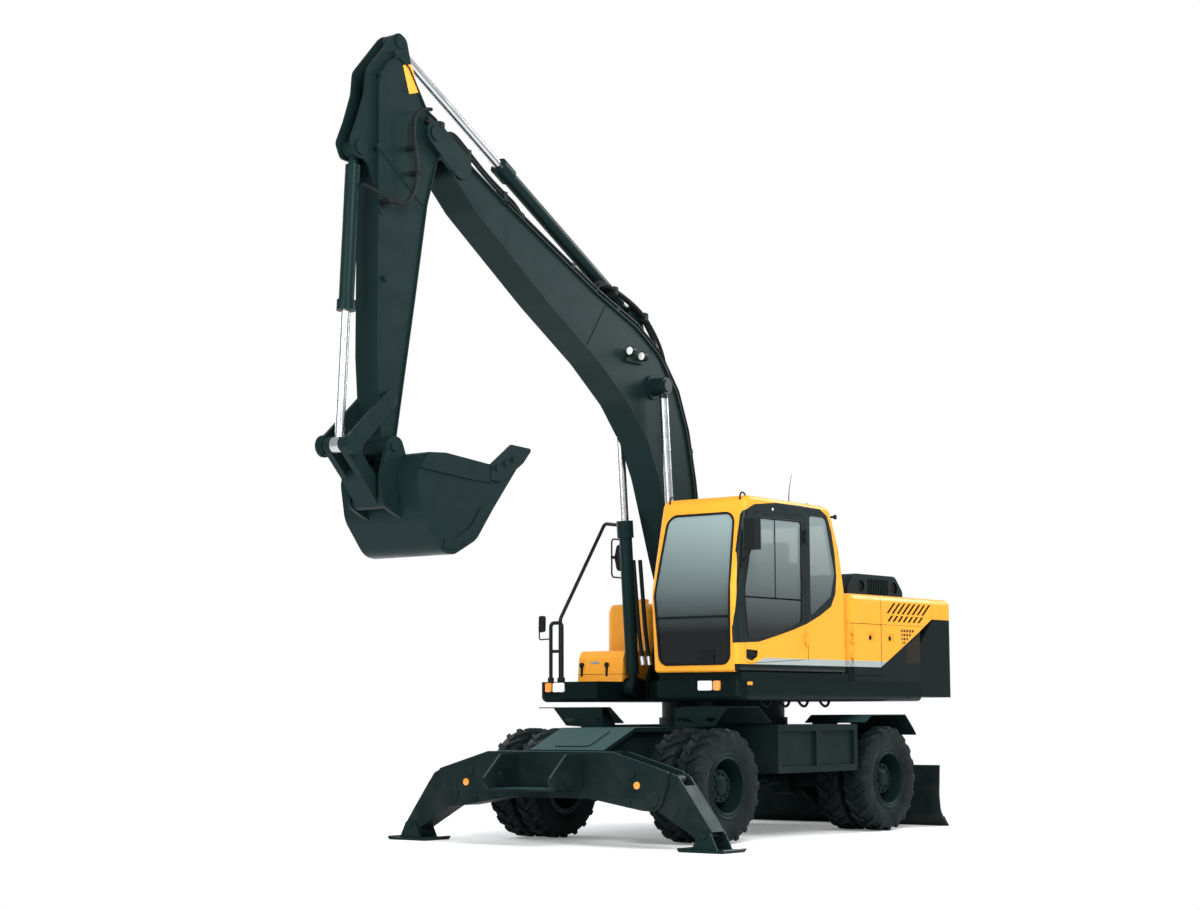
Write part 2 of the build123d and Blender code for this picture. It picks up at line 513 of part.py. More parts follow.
for side_name, side in (("left", 1), ("right", -1)):
    with BuildPart() as outrigger_leg:
        for x_low in (LEG_X - LEG_DEPTH / 2, LEG_X + LEG_DEPTH / 2 - LEG_PLATE):
            front_slab(mirrored(LEG_OUTLINE, side), x_low, x_low + LEG_PLATE)
        for rows in (LEG_WEB, LEG_FLOOR):
            front_slab(mirrored(rows, side), LEG_X - LEG_DEPTH / 2, LEG_X + LEG_DEPTH / 2)
        shaft(side * LEG_PIVOT_Y, LEG_PIVOT_Z, LEG_X - LEG_DEPTH / 2, LEG_X + LEG_DEPTH / 2, 75)
        for x_low in (LEG_X - LEG_DEPTH / 2 - 6, LEG_X + LEG_DEPTH / 2):
            shaft(side * LEG_EYE_Y, LEG_EYE_Z, x_low, x_low + 6, 48)
        shaft(side * LEG_PIVOT_Y, LEG_PIVOT_Z, LEG_X - 200, LEG_X + 200, LEG_PIN_RADIUS + RUNNING_GAP, Mode.SUBTRACT)
        shaft(side * FOOT_Y, FOOT_Z, LEG_X - 200, LEG_X + 200, FOOT_PIN_RADIUS + RUNNING_GAP, Mode.SUBTRACT)
    outrigger_leg.part.label = f"outrigger_leg_{side_name}"
    export_step(outrigger_leg.part, f"parts/outrigger_leg_{side_name}.step")

    with BuildPart() as outrigger_pad:
        front_slab(mirrored([(1500, 22, 0), (1480, 34, 0), (1470, 24, 0), (1492, 0, 0), (1948, 0, 0), (1970, 24, 0),
                             (1960, 34, 0), (1940, 22, 0)], side), LEG_X - 175, LEG_X + 175)
        for x_low in (LEG_X - LEG_DEPTH / 2 - SIDE_GAP - LEG_PLATE, LEG_X + LEG_DEPTH / 2 + SIDE_GAP):
            front_slab(mirrored([(1590, 20, 0), (1672, 185, 50), (1778, 185, 50), (1860, 20, 0)], side),
                       x_low, x_low + LEG_PLATE)
        shaft(side * FOOT_Y, FOOT_Z, LEG_X - LEG_DEPTH / 2 - 36, LEG_X + LEG_DEPTH / 2 + 36, FOOT_PIN_RADIUS)
    outrigger_pad.part.label = f"outrigger_pad_{side_name}"
    export_step(outrigger_pad.part, f"parts/outrigger_pad_{side_name}.step")

    strut_run = hypot(LEG_EYE_Y - STRUT_PIN_Y, LEG_EYE_Z - STRUT_PIN_Z)
    across = side * (LEG_EYE_Y - STRUT_PIN_Y) / strut_run
    rise = (LEG_EYE_Z - STRUT_PIN_Z) / strut_run
    strut_root = (LEG_X, side * STRUT_PIN_Y, STRUT_PIN_Z)
    strut_gland = (LEG_X, side * STRUT_PIN_Y + across * STRUT_GLAND, STRUT_PIN_Z + rise * STRUT_GLAND)
    strut_eye = (LEG_X, side * LEG_EYE_Y, LEG_EYE_Z)
    strut_in = (LEG_X, side * STRUT_PIN_Y + across * 90, STRUT_PIN_Z + rise * 90)
    strut_out = (LEG_X, strut_gland[1] - across * 60, strut_gland[2] - rise * 60)
    with BuildPart() as outrigger_barrel:
        bar(strut_root, strut_gland, STRUT_RADIUS)
        shaft(side * STRUT_PIN_Y, STRUT_PIN_Z, LEG_X - 70, LEG_X + 70, 55)
        bar(strut_out, strut_gland, STRUT_RADIUS + 8)
        bar(strut_in, strut_gland, STRUT_ROD + RUNNING_GAP, Mode.SUBTRACT)
        shaft(side * STRUT_PIN_Y, STRUT_PIN_Z, LEG_X - 90, LEG_X + 90, STRUT_PIN_RADIUS + RUNNING_GAP, Mode.SUBTRACT)
    outrigger_barrel.part.label = f"outrigger_barrel_{side_name}"
    export_step(outrigger_barrel.part, f"parts/outrigger_barrel_{side_name}.step")

    with BuildPart() as outrigger_rod:
        rod_start = (LEG_X, strut_gland[1] - across * 140, strut_gland[2] - rise * 140)
        bar(rod_start, strut_eye, STRUT_ROD)
        shaft(side * LEG_EYE_Y, LEG_EYE_Z, LEG_X - STRUT_EYE_WIDTH / 2, LEG_X + STRUT_EYE_WIDTH / 2, 52)
    outrigger_rod.part.label = f"outrigger_rod_{side_name}"
    export_step(outrigger_rod.part, f"parts/outrigger_rod_{side_name}.step")

# ---------------------------------------------------------------- rear blade
BLADE_FACE = [(-2341, 0, 0), (-2180, 160, 160), (-2158, 330, 200), (-2178, 638, 0), (-2152, 638, 0),
              (-2132, 330, 200), (-2155, 150, 160), (-2316, 0, 0)]

with BuildPart() as blade:
    side_slab(BLADE_FACE, -BLADE_HALF, BLADE_HALF)
    for side in (-1, 1):
        low = side * BLADE_ARM_Y - BLADE_ARM_WIDTH / 2
        side_slab([(-2150, 200, 0), (-2143, 540, 0), (-1900, 520, 60), (BLADE_PIVOT_X, 540, 20),
                   (BLADE_PIVOT_X, 420, 20), (-1900, 340, 60)], low, low + BLADE_ARM_WIDTH)
        pin(BLADE_PIVOT_X, BLADE_PIVOT_Z, low, low + BLADE_ARM_WIDTH, 62)
        pin(BLADE_PIVOT_X, BLADE_PIVOT_Z, low - 5, low + BLADE_ARM_WIDTH + 5, 40 + RUNNING_GAP, Mode.SUBTRACT)
        for lug_low in (-RAM_EYE_WIDTH / 2 - SIDE_GAP - BLADE_LUG, RAM_EYE_WIDTH / 2 + SIDE_GAP):
            ear = side * BLADE_RAM_Y + lug_low
            side_slab([(-2150, 420, 0), (-2156, 630, 0), (BLADE_EYE_X - 5, 650, 45), (BLADE_EYE_X + 48, 600, 40),
                       (BLADE_EYE_X + 10, 540, 40)], ear, ear + BLADE_LUG)
    # Bottom cutting edge
    side_slab([(-2339, 0, 0), (-2249, 90, 0), (-2264, 101, 0), (-2362, 3, 0)], -BLADE_HALF + 5, BLADE_HALF - 5)
blade.part.label = "blade"
export_step(blade.part, "parts/blade.step")

BLADE_EYE = (BLADE_EYE_X, BLADE_EYE_Z)
BLADE_RAM = (BLADE_RAM_X, BLADE_RAM_Z)
BLADE_BARREL = 350.0
BLADE_STROKE_END = hypot(BLADE_EYE_X - BLADE_RAM_X, BLADE_EYE_Z - BLADE_RAM_Z)

with BuildPart() as blade_cylinder_barrels:
    for side in (-1, 1):
        y = side * BLADE_RAM_Y
        ram_piece(BLADE_RAM, BLADE_EYE, y, 0, BLADE_BARREL, 48)
        ram_piece(BLADE_RAM, BLADE_EYE, y, BLADE_BARREL - 50, BLADE_BARREL, 56)
        ram_piece(BLADE_RAM, BLADE_EYE, y, 50, BLADE_BARREL, 28 + RUNNING_GAP, Mode.SUBTRACT)
        pin(BLADE_RAM_X, BLADE_RAM_Z, y - RAM_EYE_WIDTH / 2, y + RAM_EYE_WIDTH / 2, 40)
    # Only the eyes are as narrow as the ears, and each turns on its pin
    for side in (-1, 1):
        y = side * BLADE_RAM_Y
        for low in (y - 80, y + RAM_EYE_WIDTH / 2):
            block((BLADE_RAM_X - 50, BLADE_RAM_X + 60), (low, low + 80 - RAM_EYE_WIDTH / 2),
                  (BLADE_RAM_Z - 60, BLADE_RAM_Z + 60), Mode.SUBTRACT)
        pin(BLADE_RAM_X, BLADE_RAM_Z, y - 80, y + 80, 25 + RUNNING_GAP, Mode.SUBTRACT)
blade_cylinder_barrels.part.label = "blade_cylinder_barrels"
export_step(blade_cylinder_barrels.part, "parts/blade_cylinder_barrels.step")

with BuildPart() as blade_cylinder_rods:
    for side in (-1, 1):
        y = side * BLADE_RAM_Y
        ram_piece(BLADE_RAM, BLADE_EYE, y, 290, BLADE_STROKE_END, 28)
        pin(BLADE_EYE_X, BLADE_EYE_Z, y - RAM_EYE_WIDTH / 2, y + RAM_EYE_WIDTH / 2, 40)
blade_cylinder_rods.part.label = "blade_cylinder_rods"
export_step(blade_cylinder_rods.part, "parts/blade_cylinder_rods.step")

# ================================================================ upper structure
# ---------------------------------------------------------------- swing bearing and slew frame
RING_RADIUS = 620.0
RING_INNER = 480.0
NOTCH_REAR = 850.0
NOTCH_LEFT = 240.0
NOTCH_RIGHT = -490.0
NOTCH_PLATE = 20.0
BRACKET_INNER = BOOM_HALF + SIDE_GAP
BRACKET_PLATE = 38.0
FOOT_PIN = 55.0
RAM_EYE_HALF = 50.0
RAM_LUG = 20.0
RAM_LUG_RADIUS = 97.0
RAM_FOOT_PIN = 42.0

with BuildPart() as slew_ring:
    tube_ring(ABOVE.offset(TURRET_TOP + RUNNING_GAP), (0, 0), RING_RADIUS, RING_INNER,
              DECK_FLOOR - TURRET_TOP - RUNNING_GAP)
slew_ring.part.label = "slew_ring"
export_step(slew_ring.part, "parts/slew_ring.step")

with BuildPart() as slew_frame:
    plan_slab([(DECK_REAR, -DECK_HALF, 0), (DECK_FRONT, -DECK_HALF, 90), (DECK_FRONT, DECK_HALF, 90),
               (DECK_REAR, DECK_HALF, 0)], DECK_FLOOR, DECK_TOP)
    fillet(slew_frame.faces().sort_by(Axis.Z)[0].edges().sort_by(Axis.X)[1:], radius=55)
    block((NOTCH_REAR, DECK_FRONT + 50), (NOTCH_RIGHT, NOTCH_LEFT), (DECK_FLOOR + NOTCH_PLATE, DECK_TOP + 10),
          Mode.SUBTRACT)
    # Plinth under the cab
    block((-420, DECK_FRONT - 10), (CAB_RIGHT + 15, DECK_HALF - 12), (DECK_TOP - 10, CAB_FLOOR))
    # Twin plates that carry the boom foot
    for low in (BOOM_Y - BRACKET_INNER - BRACKET_PLATE, BOOM_Y + BRACKET_INNER):
        side_slab([(-440, DECK_FLOOR + 5, 0), (-440, 1620, 60), (280, 2235, 130), (BOOM_FOOT[0], 2290, 120),
                   (BOOM_FOOT[0] + 150, 2130, 120), (760, 1780, 120), (NOTCH_REAR + 20, 1500, 40),
                   (NOTCH_REAR + 20, DECK_FLOOR + 5, 0)], low, low + BRACKET_PLATE)
    pin(*BOOM_FOOT, BOOM_Y - BRACKET_INNER - BRACKET_PLATE - 18, BOOM_Y + BRACKET_INNER + BRACKET_PLATE + 18,
        FOOT_PIN)
    # Lug pairs of the two boom cylinders
    for side in (-1, 1):
        middle = BOOM_Y + side * BOOM_RAM_Y
        for low in (middle - RAM_EYE_HALF - SIDE_GAP - RAM_LUG, middle + RAM_EYE_HALF + SIDE_GAP):
            side_slab([(NOTCH_REAR - 5, DECK_FLOOR + 5, 0), (NOTCH_REAR - 5, DECK_TOP, 0),
                       (BOOM_RAM_FOOT[0] - 30, BOOM_RAM_FOOT[1] + 95, 60), (BOOM_RAM_FOOT[0] + 60, 1545, 70),
                       (BOOM_RAM_FOOT[0] + 108, BOOM_RAM_FOOT[1] - 10, 80), (BOOM_RAM_FOOT[0] + 20, DECK_FLOOR + 5, 60)],
                      low, low + RAM_LUG)
        pin(*BOOM_RAM_FOOT, middle - RAM_EYE_HALF - SIDE_GAP - RAM_LUG - 6,
            middle + RAM_EYE_HALF + SIDE_GAP + RAM_LUG - 2, RAM_FOOT_PIN)
slew_frame.part.label = "slew_frame"
export_step(slew_frame.part, "parts/slew_frame.step")

# ---------------------------------------------------------------- counterweight, engine and body panels
PANEL_BREAK = [(-1292.0, 1746.0), (-2112.0, 2171.0)]      # edge between the panels and the dark tail
PANEL_WALL = 40.0
PANEL_FRONT = -470.0
PANEL_BASE = DECK_TOP + RUNNING_GAP
SKIN_GAP = 6.0
HOOD_FRONT = -1000.0
HOOD_REAR = -2105.0
HOOD_HALF = 880.0
HOOD_RISE = 2625.0
TAIL_FRONT = PANEL_BREAK[1][0] - SKIN_GAP
TOP_ROUND = 75.0              # long edges along the top of the panels and the tail
EYE_X = -(TAIL_RADIUS - 200.0)
EYE_SIDE = 350.0
EYE_Z = HOOD_TOP + 45

with BuildPart() as counterweight:
    side_slab([(DECK_REAR, 1350, 60), (DECK_REAR, 1900, 0), (TAIL_FRONT, PANEL_BREAK[1][1] - SKIN_GAP, 0),
               (TAIL_FRONT, HOOD_TOP, 0), (-TAIL_RADIUS - 50, HOOD_TOP, 0), (-TAIL_RADIUS - 50, 1345, 0)],
              -DECK_HALF + 5, DECK_HALF - 5)
    with BuildSketch(ABOVE.offset(1300)) as tail_round:
        Circle(TAIL_RADIUS)
    extrude(tail_round.sketch, amount=1300, mode=Mode.INTERSECT)
    fillet(counterweight.faces().filter_by(GeomType.CYLINDER).sort_by(Axis.X)[0].edges().filter_by(
        GeomType.CIRCLE).sort_by(Axis.Z)[0], radius=60)
    fillet(counterweight.faces().sort_by(Axis.Z)[-1].edges().sort_by(Axis.X)[:-1], radius=TOP_ROUND)
    # Two lifting eyes on top
    for side in (-1, 1):
        side_slab([(EYE_X - 70, HOOD_TOP - 20, 0), (EYE_X - 40, EYE_Z + 45, 40), (EYE_X + 40, EYE_Z + 45, 40),
                   (EYE_X + 70, HOOD_TOP - 20, 0)], side * EYE_SIDE - 20, side * EYE_SIDE + 20)
        pin(EYE_X, EYE_Z, side * EYE_SIDE - 30, side * EYE_SIDE + 30, 25, Mode.SUBTRACT)
counterweight.part.label = "counterweight"
export_step(counterweight.part, "parts/counterweight.step")

with BuildPart() as engine_block:
    block((-1780, -1120), (-420, 420), (DECK_TOP, 2180))
    block((-1120, -620), (-260, 260), (DECK_TOP, 1980))
engine_block.part.label = "engine_block"
export_step(engine_block.part, "parts/engine_block.step")

BODY_OUTLINE = [(PANEL_FRONT, PANEL_BASE, 0), (PANEL_FRONT, HOOD_TOP, 90), (PANEL_BREAK[1][0], HOOD_TOP, 0),
                (*PANEL_BREAK[1], 0), (DECK_REAR, 2035, 0), (DECK_REAR, PANEL_BASE, 0)]
BODY_INNER = [(PANEL_FRONT - PANEL_WALL, PANEL_BASE - 20, 0), (PANEL_FRONT - PANEL_WALL, HOOD_TOP - PANEL_WALL, 50),
              (-1980, HOOD_TOP - PANEL_WALL, 0), (-1980, 2200, 0), (DECK_REAR + 1, 2080, 0),
              (DECK_REAR + PANEL_WALL, 2080, 0), (DECK_REAR + PANEL_WALL, PANEL_BASE - 20, 0)]
DOOR_FRONT = -520.0
DOOR_REAR = -1062.0
DOOR_LOW = 1560.0
DOOR_HIGH = 2085.0
DOOR_GAP = 5.0
DOOR_HINGES = (DOOR_LOW + 140, DOOR_HIGH - 140)
PANEL_FACE = DECK_HALF - 5
LOUVRES = ((2200.0, 2318.0, -1175.0, 8), (2118.0, 2182.0, -1190.0, 7))     # low, high, first slot, how many
LOUVRE_PITCH = 102.0
LOUVRE_WIDTH = 45.0
LOUVRE_LEAN = 1.3             # backwards for each step up
LOUVRE_DEPTH = 26.0
LATCH = 130.0
LATCH_DEPTH = 8.0
HINGE_Y = PANEL_FACE + HINGE_RADIUS + RUNNING_GAP

with BuildPart() as body_panels:
    side_slab(BODY_OUTLINE, -DECK_HALF + 5, DECK_HALF - 5)
    fillet(body_panels.faces().sort_by(Axis.Z)[-1].edges().filter_by(Axis.X), radius=TOP_ROUND)
    side_slab(BODY_INNER, -DECK_HALF + 5 + PANEL_WALL, DECK_HALF - 5 - PANEL_WALL, Mode.SUBTRACT)
    block((DOOR_REAR, DOOR_FRONT), (-DECK_HALF - 5, -DECK_HALF + 60), (DOOR_LOW, DOOR_HIGH), Mode.SUBTRACT)
    block((DOOR_REAR, DOOR_FRONT), (DECK_HALF - 60, DECK_HALF + 5), (DOOR_LOW, DOOR_HIGH), Mode.SUBTRACT)
    block((HOOD_REAR + 150, HOOD_FRONT - 30), (-HOOD_HALF + 30, HOOD_HALF - 30), (HOOD_TOP - 80, HOOD_TOP + 10),
          Mode.SUBTRACT)
    for side in (-1, 1):
        for hinge_z in DOOR_HINGES:
            hinge_seat(DOOR_FRONT, side * HINGE_Y, hinge_z, DOOR_FRONT + 38, side * (PANEL_FACE - 3))
        # Two rows of leaning louvres and a latch behind the door, all sunk into the side
        sunk = sorted((side * (PANEL_FACE - LOUVRE_DEPTH), side * (PANEL_FACE + 5)))
        for z_low, z_high, first, count in LOUVRES:
            lean = LOUVRE_LEAN * (z_high - z_low)
            for index in range(count):
                x = first - index * LOUVRE_PITCH
                side_slab([(x, z_low, 0), (x - lean, z_high, 0), (x - lean - LOUVRE_WIDTH, z_high, 0),
                           (x - LOUVRE_WIDTH, z_low, 0)], *sunk, Mode.SUBTRACT)
        block((-1180 - LATCH, -1180), sorted((side * (PANEL_FACE - LATCH_DEPTH), side * (PANEL_FACE + 5))),
              (1903, 1988), Mode.SUBTRACT)
body_panels.part.label = "body_panels"
export_step(body_panels.part, "parts/body_panels.step")

for side_name, side in (("left", 1), ("right", -1)):
    outer = side * (DECK_HALF - 5)
    inner = side * (DECK_HALF - 5 - PANEL_WALL)
    with BuildPart() as side_door:
        side_slab([(DOOR_FRONT - DOOR_GAP, DOOR_LOW + DOOR_GAP, 20), (DOOR_FRONT - DOOR_GAP, DOOR_HIGH - DOOR_GAP, 20),
                   (DOOR_REAR + DOOR_GAP, DOOR_HIGH - DOOR_GAP, 20), (DOOR_REAR + DOOR_GAP, DOOR_LOW + DOOR_GAP, 20)],
                  min(outer, inner), max(outer, inner))
        block((-797 - LATCH, -797), sorted((side * (PANEL_FACE - LATCH_DEPTH), side * (PANEL_FACE + 5))),
              (1903, 1988), Mode.SUBTRACT)
        for hinge_z in DOOR_HINGES:
            hinge_leaf(DOOR_FRONT, side * HINGE_Y, hinge_z, DOOR_FRONT - 38, side * (PANEL_FACE - 3))
    side_door.part.label = f"side_door_{side_name}"
    export_step(side_door.part, f"parts/side_door_{side_name}.step")

GRILLE_FRONT = -1395.0
GRILLE_SLOTS = 12
GRILLE_SLOT = 22.0
GRILLE_PITCH = 35.0

with BuildPart() as engine_hood:
    side_slab([(HOOD_FRONT, HOOD_TOP + RUNNING_GAP, 0), (HOOD_FRONT + 10, 2480, 60), (-1110, HOOD_RISE, 120),
               (-1950, HOOD_RISE, 120), (HOOD_REAR, 2470, 60), (HOOD_REAR, HOOD_TOP + RUNNING_GAP, 0)],
              -HOOD_HALF, HOOD_HALF)
    side_slab([(HOOD_FRONT - 45, HOOD_TOP - 20, 0), (HOOD_FRONT - 45, 2470, 50), (-1130, HOOD_RISE - 25, 100),
               (-1930, HOOD_RISE - 25, 100), (HOOD_REAR + 25, 2460, 50), (HOOD_REAR + 25, HOOD_TOP - 20, 0)],
              -HOOD_HALF + 25, HOOD_HALF - 25, Mode.SUBTRACT)
    # Grille of upright slots sunk into each side, and a round intake at each end of it
    for side in (-1, 1):
        sunk = sorted((side * (HOOD_HALF - 14), side * (HOOD_HALF + 5)))
        for index in range(GRILLE_SLOTS):
            x = GRILLE_FRONT - index * GRILLE_PITCH
            block((x - GRILLE_SLOT, x), sunk, (HOOD_TOP + 35, HOOD_RISE - 45), Mode.SUBTRACT)
        for x in (GRILLE_FRONT + 130, GRILLE_FRONT - GRILLE_SLOTS * GRILLE_PITCH - 120):
            pin(x, (HOOD_TOP + HOOD_RISE) / 2 - 5, *sunk, 62, Mode.SUBTRACT)
engine_hood.part.label = "engine_hood"
export_step(engine_hood.part, "parts/engine_hood.step")

# ---------------------------------------------------------------- fuel tank, toolbox and rails
TANK_FRONT = 590.0
TANK_REAR = -430.0
TANK_LEFT = -490.0
TANK_RIGHT = -(DECK_HALF - 185.0)
TANK_TOP = 2300.0
TOOLBOX_FRONT = 1045.0
TOOLBOX_RIGHT = TANK_RIGHT
TOOLBOX_TOP = 1815.0
LID_SPLIT = 1740.0
RAIL_RADIUS = 19.0
RAIL_Y = -(DECK_HALF - 85.0)
FRONT_RAIL = 142.0            # across the front rail
FRONT_RAIL_X = 1350.0
MIRROR_ARM = 9.0

with BuildPart() as fuel_tank:
    plan_slab([(TANK_REAR, TANK_LEFT, 0), (TANK_FRONT, TANK_LEFT, 90), (TANK_FRONT, TANK_RIGHT, 90),
               (TANK_REAR, TANK_RIGHT, 90)], DECK_TOP, TANK_TOP)
    fillet(fuel_tank.faces().sort_by(Axis.Z)[-1].edges(), radius=70)
    post(250, -820, TANK_TOP - 5, TANK_TOP + 60, 60)
fuel_tank.part.label = "fuel_tank"
export_step(fuel_tank.part, "parts/fuel_tank.step")

with BuildPart() as toolbox:
    side_slab([(TANK_FRONT, DECK_TOP, 0), (TANK_FRONT, LID_SPLIT, 0), (TOOLBOX_FRONT - 22, LID_SPLIT, 0),
               (TOOLBOX_FRONT, DECK_TOP, 0)], TOOLBOX_RIGHT, TANK_LEFT)
    block((TANK_FRONT + 20, TOOLBOX_FRONT - 55), (TOOLBOX_RIGHT + 25, TANK_LEFT - 25), (DECK_TOP + 20, LID_SPLIT + 10),
          Mode.SUBTRACT)
toolbox.part.label = "toolbox"
export_step(toolbox.part, "parts/toolbox.step")

with BuildPart() as toolbox_lid:
    side_slab([(TANK_FRONT + 12, LID_SPLIT + RUNNING_GAP, 0), (TANK_FRONT + 12, TOOLBOX_TOP, 0),
               (TOOLBOX_FRONT - 60, TOOLBOX_TOP, 45), (TOOLBOX_FRONT - 22, LID_SPLIT + RUNNING_GAP, 0)],
              TOOLBOX_RIGHT, TANK_LEFT)
    block((TANK_FRONT + 36, TOOLBOX_FRONT - 75), (TOOLBOX_RIGHT + 25, TANK_LEFT - 25), (LID_SPLIT - 5, TOOLBOX_TOP - 20),
          Mode.SUBTRACT)
toolbox_lid.part.label = "toolbox_lid"
export_step(toolbox_lid.part, "parts/toolbox_lid.step")

with BuildPart() as handrails:
    rail([(FRONT_RAIL_X, RAIL_Y, DECK_TOP), (FRONT_RAIL_X, RAIL_Y, 2093), (FRONT_RAIL_X, RAIL_Y + FRONT_RAIL, 2093),
          (FRONT_RAIL_X, RAIL_Y + FRONT_RAIL, DECK_TOP)], 40, RAIL_RADIUS)
    bar((FRONT_RAIL_X, RAIL_Y, 1810), (FRONT_RAIL_X, RAIL_Y + FRONT_RAIL, 1810), RAIL_RADIUS - 3)
    rail([(1200, RAIL_Y, DECK_TOP), (1200, RAIL_Y, 2139), (464, RAIL_Y, 3150), (27, RAIL_Y, 3150),
          (27, RAIL_Y, DECK_TOP)], 90, RAIL_RADIUS)
    for x, y in ((FRONT_RAIL_X, RAIL_Y), (FRONT_RAIL_X, RAIL_Y + FRONT_RAIL), (1200, RAIL_Y), (27, RAIL_Y)):
        post(x, y, DECK_TOP, DECK_TOP + 45, 31)
    # Mirror on a wire frame in front of the tall rail's rear post, and a small one on the front rail
    rail([(27, RAIL_Y, 2998), (350, RAIL_Y, 2998), (350, RAIL_Y, 2600), (27, RAIL_Y, 2600)], 40, MIRROR_ARM)
    side_slab([(166, 2669, 25), (166, 2947, 25), (240, 2947, 50), (285, 2808, 60), (240, 2669, 50)], RAIL_Y - 18, RAIL_Y + 18)
    block((270, 355), (RAIL_Y - 10, RAIL_Y + 10), (2790, 2822))
    rail([(FRONT_RAIL_X, RAIL_Y, 1936), (FRONT_RAIL_X, RAIL_Y - 150, 1930), (FRONT_RAIL_X, RAIL_Y - 150, 2060)], 20,
         MIRROR_ARM - 2)
    front_slab([(RAIL_Y - 80, 2010, 20), (RAIL_Y - 150, 2000, 20), (RAIL_Y - 145, 2168, 20), (RAIL_Y - 75, 2168, 20)],
               FRONT_RAIL_X - 15, FRONT_RAIL_X + 15)
handrails.part.label = "handrails"
export_step(handrails.part, "parts/handrails.step")

LAMP_LOW = 1405.0
LAMP_HIGH = 1495.0
LAMP_DEPTH = 16.0

with BuildPart() as lamps:
    # White and amber lamps side by side on both ends of the deck's front
    for y_low, y_high in ((732, 890), (911, 985), (-1036, -895), (-1132, -1058)):
        front_slab([(y_low, LAMP_LOW, 14), (y_low, LAMP_HIGH, 14), (y_high, LAMP_HIGH, 14), (y_high, LAMP_LOW, 14)],
                   DECK_FRONT, DECK_FRONT + LAMP_DEPTH)
lamps.part.label = "lamps"
export_step(lamps.part, "parts/lamps.step")

# ---------------------------------------------------------------- cab
CAB_OUTLINE = [(1508, CAB_FLOOR + RUNNING_GAP, 30), (1552, 2330, 500), (1345, 3190, 90), (1290, 3240, 60),
               (-120, 3225, 110), (-300, 2810, 200), (-385, 2400, 200), (-400, CAB_FLOOR + RUNNING_GAP, 30)]
CAB_INNER = [(1460, CAB_FLOOR + 45, 30), (1505, 2330, 460), (1300, 3165, 50), (1270, 3185, 40),
             (-95, 3172, 70), (-256, 2800, 170), (-340, 2395, 170), (-355, CAB_FLOOR + 45, 30)]
DOOR_OPENING_REAR = 345.0
DOOR_OPENING = [(1395, 1650, 90), (1440, 2330, 400), (1250, 3090, 120), (DOOR_OPENING_REAR, 3105, 50),
                (DOOR_OPENING_REAR, 1700, 60)]
CAB_HINGES = (1900.0, 2900.0)
CAB_HINGE_Y = CAB_LEFT + HINGE_RADIUS + RUNNING_GAP
DOOR_RIM = 5.0
PANE_GAP = 0.3
PANE = 8.0
GLASS_SPLIT = 2093.0
WINDSHIELD = [(330, 1650, 90), (300, 2300, 200), (345, 3075, 110), (1110, 3075, 110), (1165, 2300, 200), (1135, 1650, 90)]
QUARTER_WINDOW = [(255, 3110, 30), (-40, 3110, 90), (-205, 2560, 80), (-130, 2330, 60), (120, 2190, 60), (255, 2110, 40)]
RIGHT_WINDOW = [(1420, 2120, 60), (1440, 2500, 300), (1275, 3080, 90), (-10, 3090, 90), (-190, 2560, 80), (-190, 2120, 60)]
DOOR_WINDOW = [(1345, 1885, 60), (1395, 2330, 400), (1215, 3035, 90), (410, 3045, 40), (410, 2060, 60),
               (810, 1940, 200)]
REAR_WINDOW = [(340, 2480, 60), (340, 3060, 60), (1135, 3060, 60), (1135, 2480, 60)]


with BuildPart() as cab_shell:
    side_slab(CAB_OUTLINE, CAB_RIGHT, CAB_LEFT)
    fillet(cab_shell.edges().filter_by_position(Axis.Z, 3190, 3245).filter_by(
        lambda e: abs(e.center().Y - CAB_LEFT) < 1 or abs(e.center().Y - CAB_RIGHT) < 1), radius=45)
    side_slab(CAB_INNER, CAB_RIGHT + CAB_WALL, CAB_LEFT - CAB_WALL, Mode.SUBTRACT)
    side_slab(DOOR_OPENING, CAB_LEFT - CAB_WALL - 5, CAB_LEFT + 5, Mode.SUBTRACT)
    side_slab(QUARTER_WINDOW, CAB_LEFT - CAB_WALL - 5, CAB_LEFT + 5, Mode.SUBTRACT)
    side_slab(RIGHT_WINDOW, CAB_RIGHT - 5, CAB_RIGHT + CAB_WALL + 5, Mode.SUBTRACT)
    front_slab(WINDSHIELD, 1150, 1600, Mode.SUBTRACT)
    front_slab(REAR_WINDOW, -420, -150, Mode.SUBTRACT)
    for hinge_z in CAB_HINGES:
        hinge_seat(DOOR_OPENING_REAR, CAB_HINGE_Y, hinge_z, DOOR_OPENING_REAR - 38, CAB_LEFT - 3)
cab_shell.part.label = "cab_shell"
export_step(cab_shell.part, "parts/cab_shell.step")

with BuildPart() as cab_glass:
    # Windshield follows the front of the cab, in two panes that meet at the split
    extrude(area(SIDE.offset(-CAB_LEFT), CAB_OUTLINE, 6), amount=CAB_LEFT - CAB_RIGHT)
    extrude(area(SIDE.offset(-CAB_LEFT), CAB_OUTLINE, 6 + PANE), amount=CAB_LEFT - CAB_RIGHT, mode=Mode.SUBTRACT)
    extrude(area(AHEAD.offset(1100), WINDSHIELD, PANE_GAP), amount=500, mode=Mode.INTERSECT)
    block((1100, 1700), (0, 1400), (GLASS_SPLIT - 1, GLASS_SPLIT + 1), Mode.SUBTRACT)
    extrude(area(SIDE.offset(-CAB_LEFT + 8), QUARTER_WINDOW, PANE_GAP), amount=PANE)
    extrude(area(SIDE.offset(-CAB_RIGHT - 8 - PANE), RIGHT_WINDOW, PANE_GAP), amount=PANE)
cab_glass.part.label = "cab_glass"
export_step(cab_glass.part, "parts/cab_glass.step")

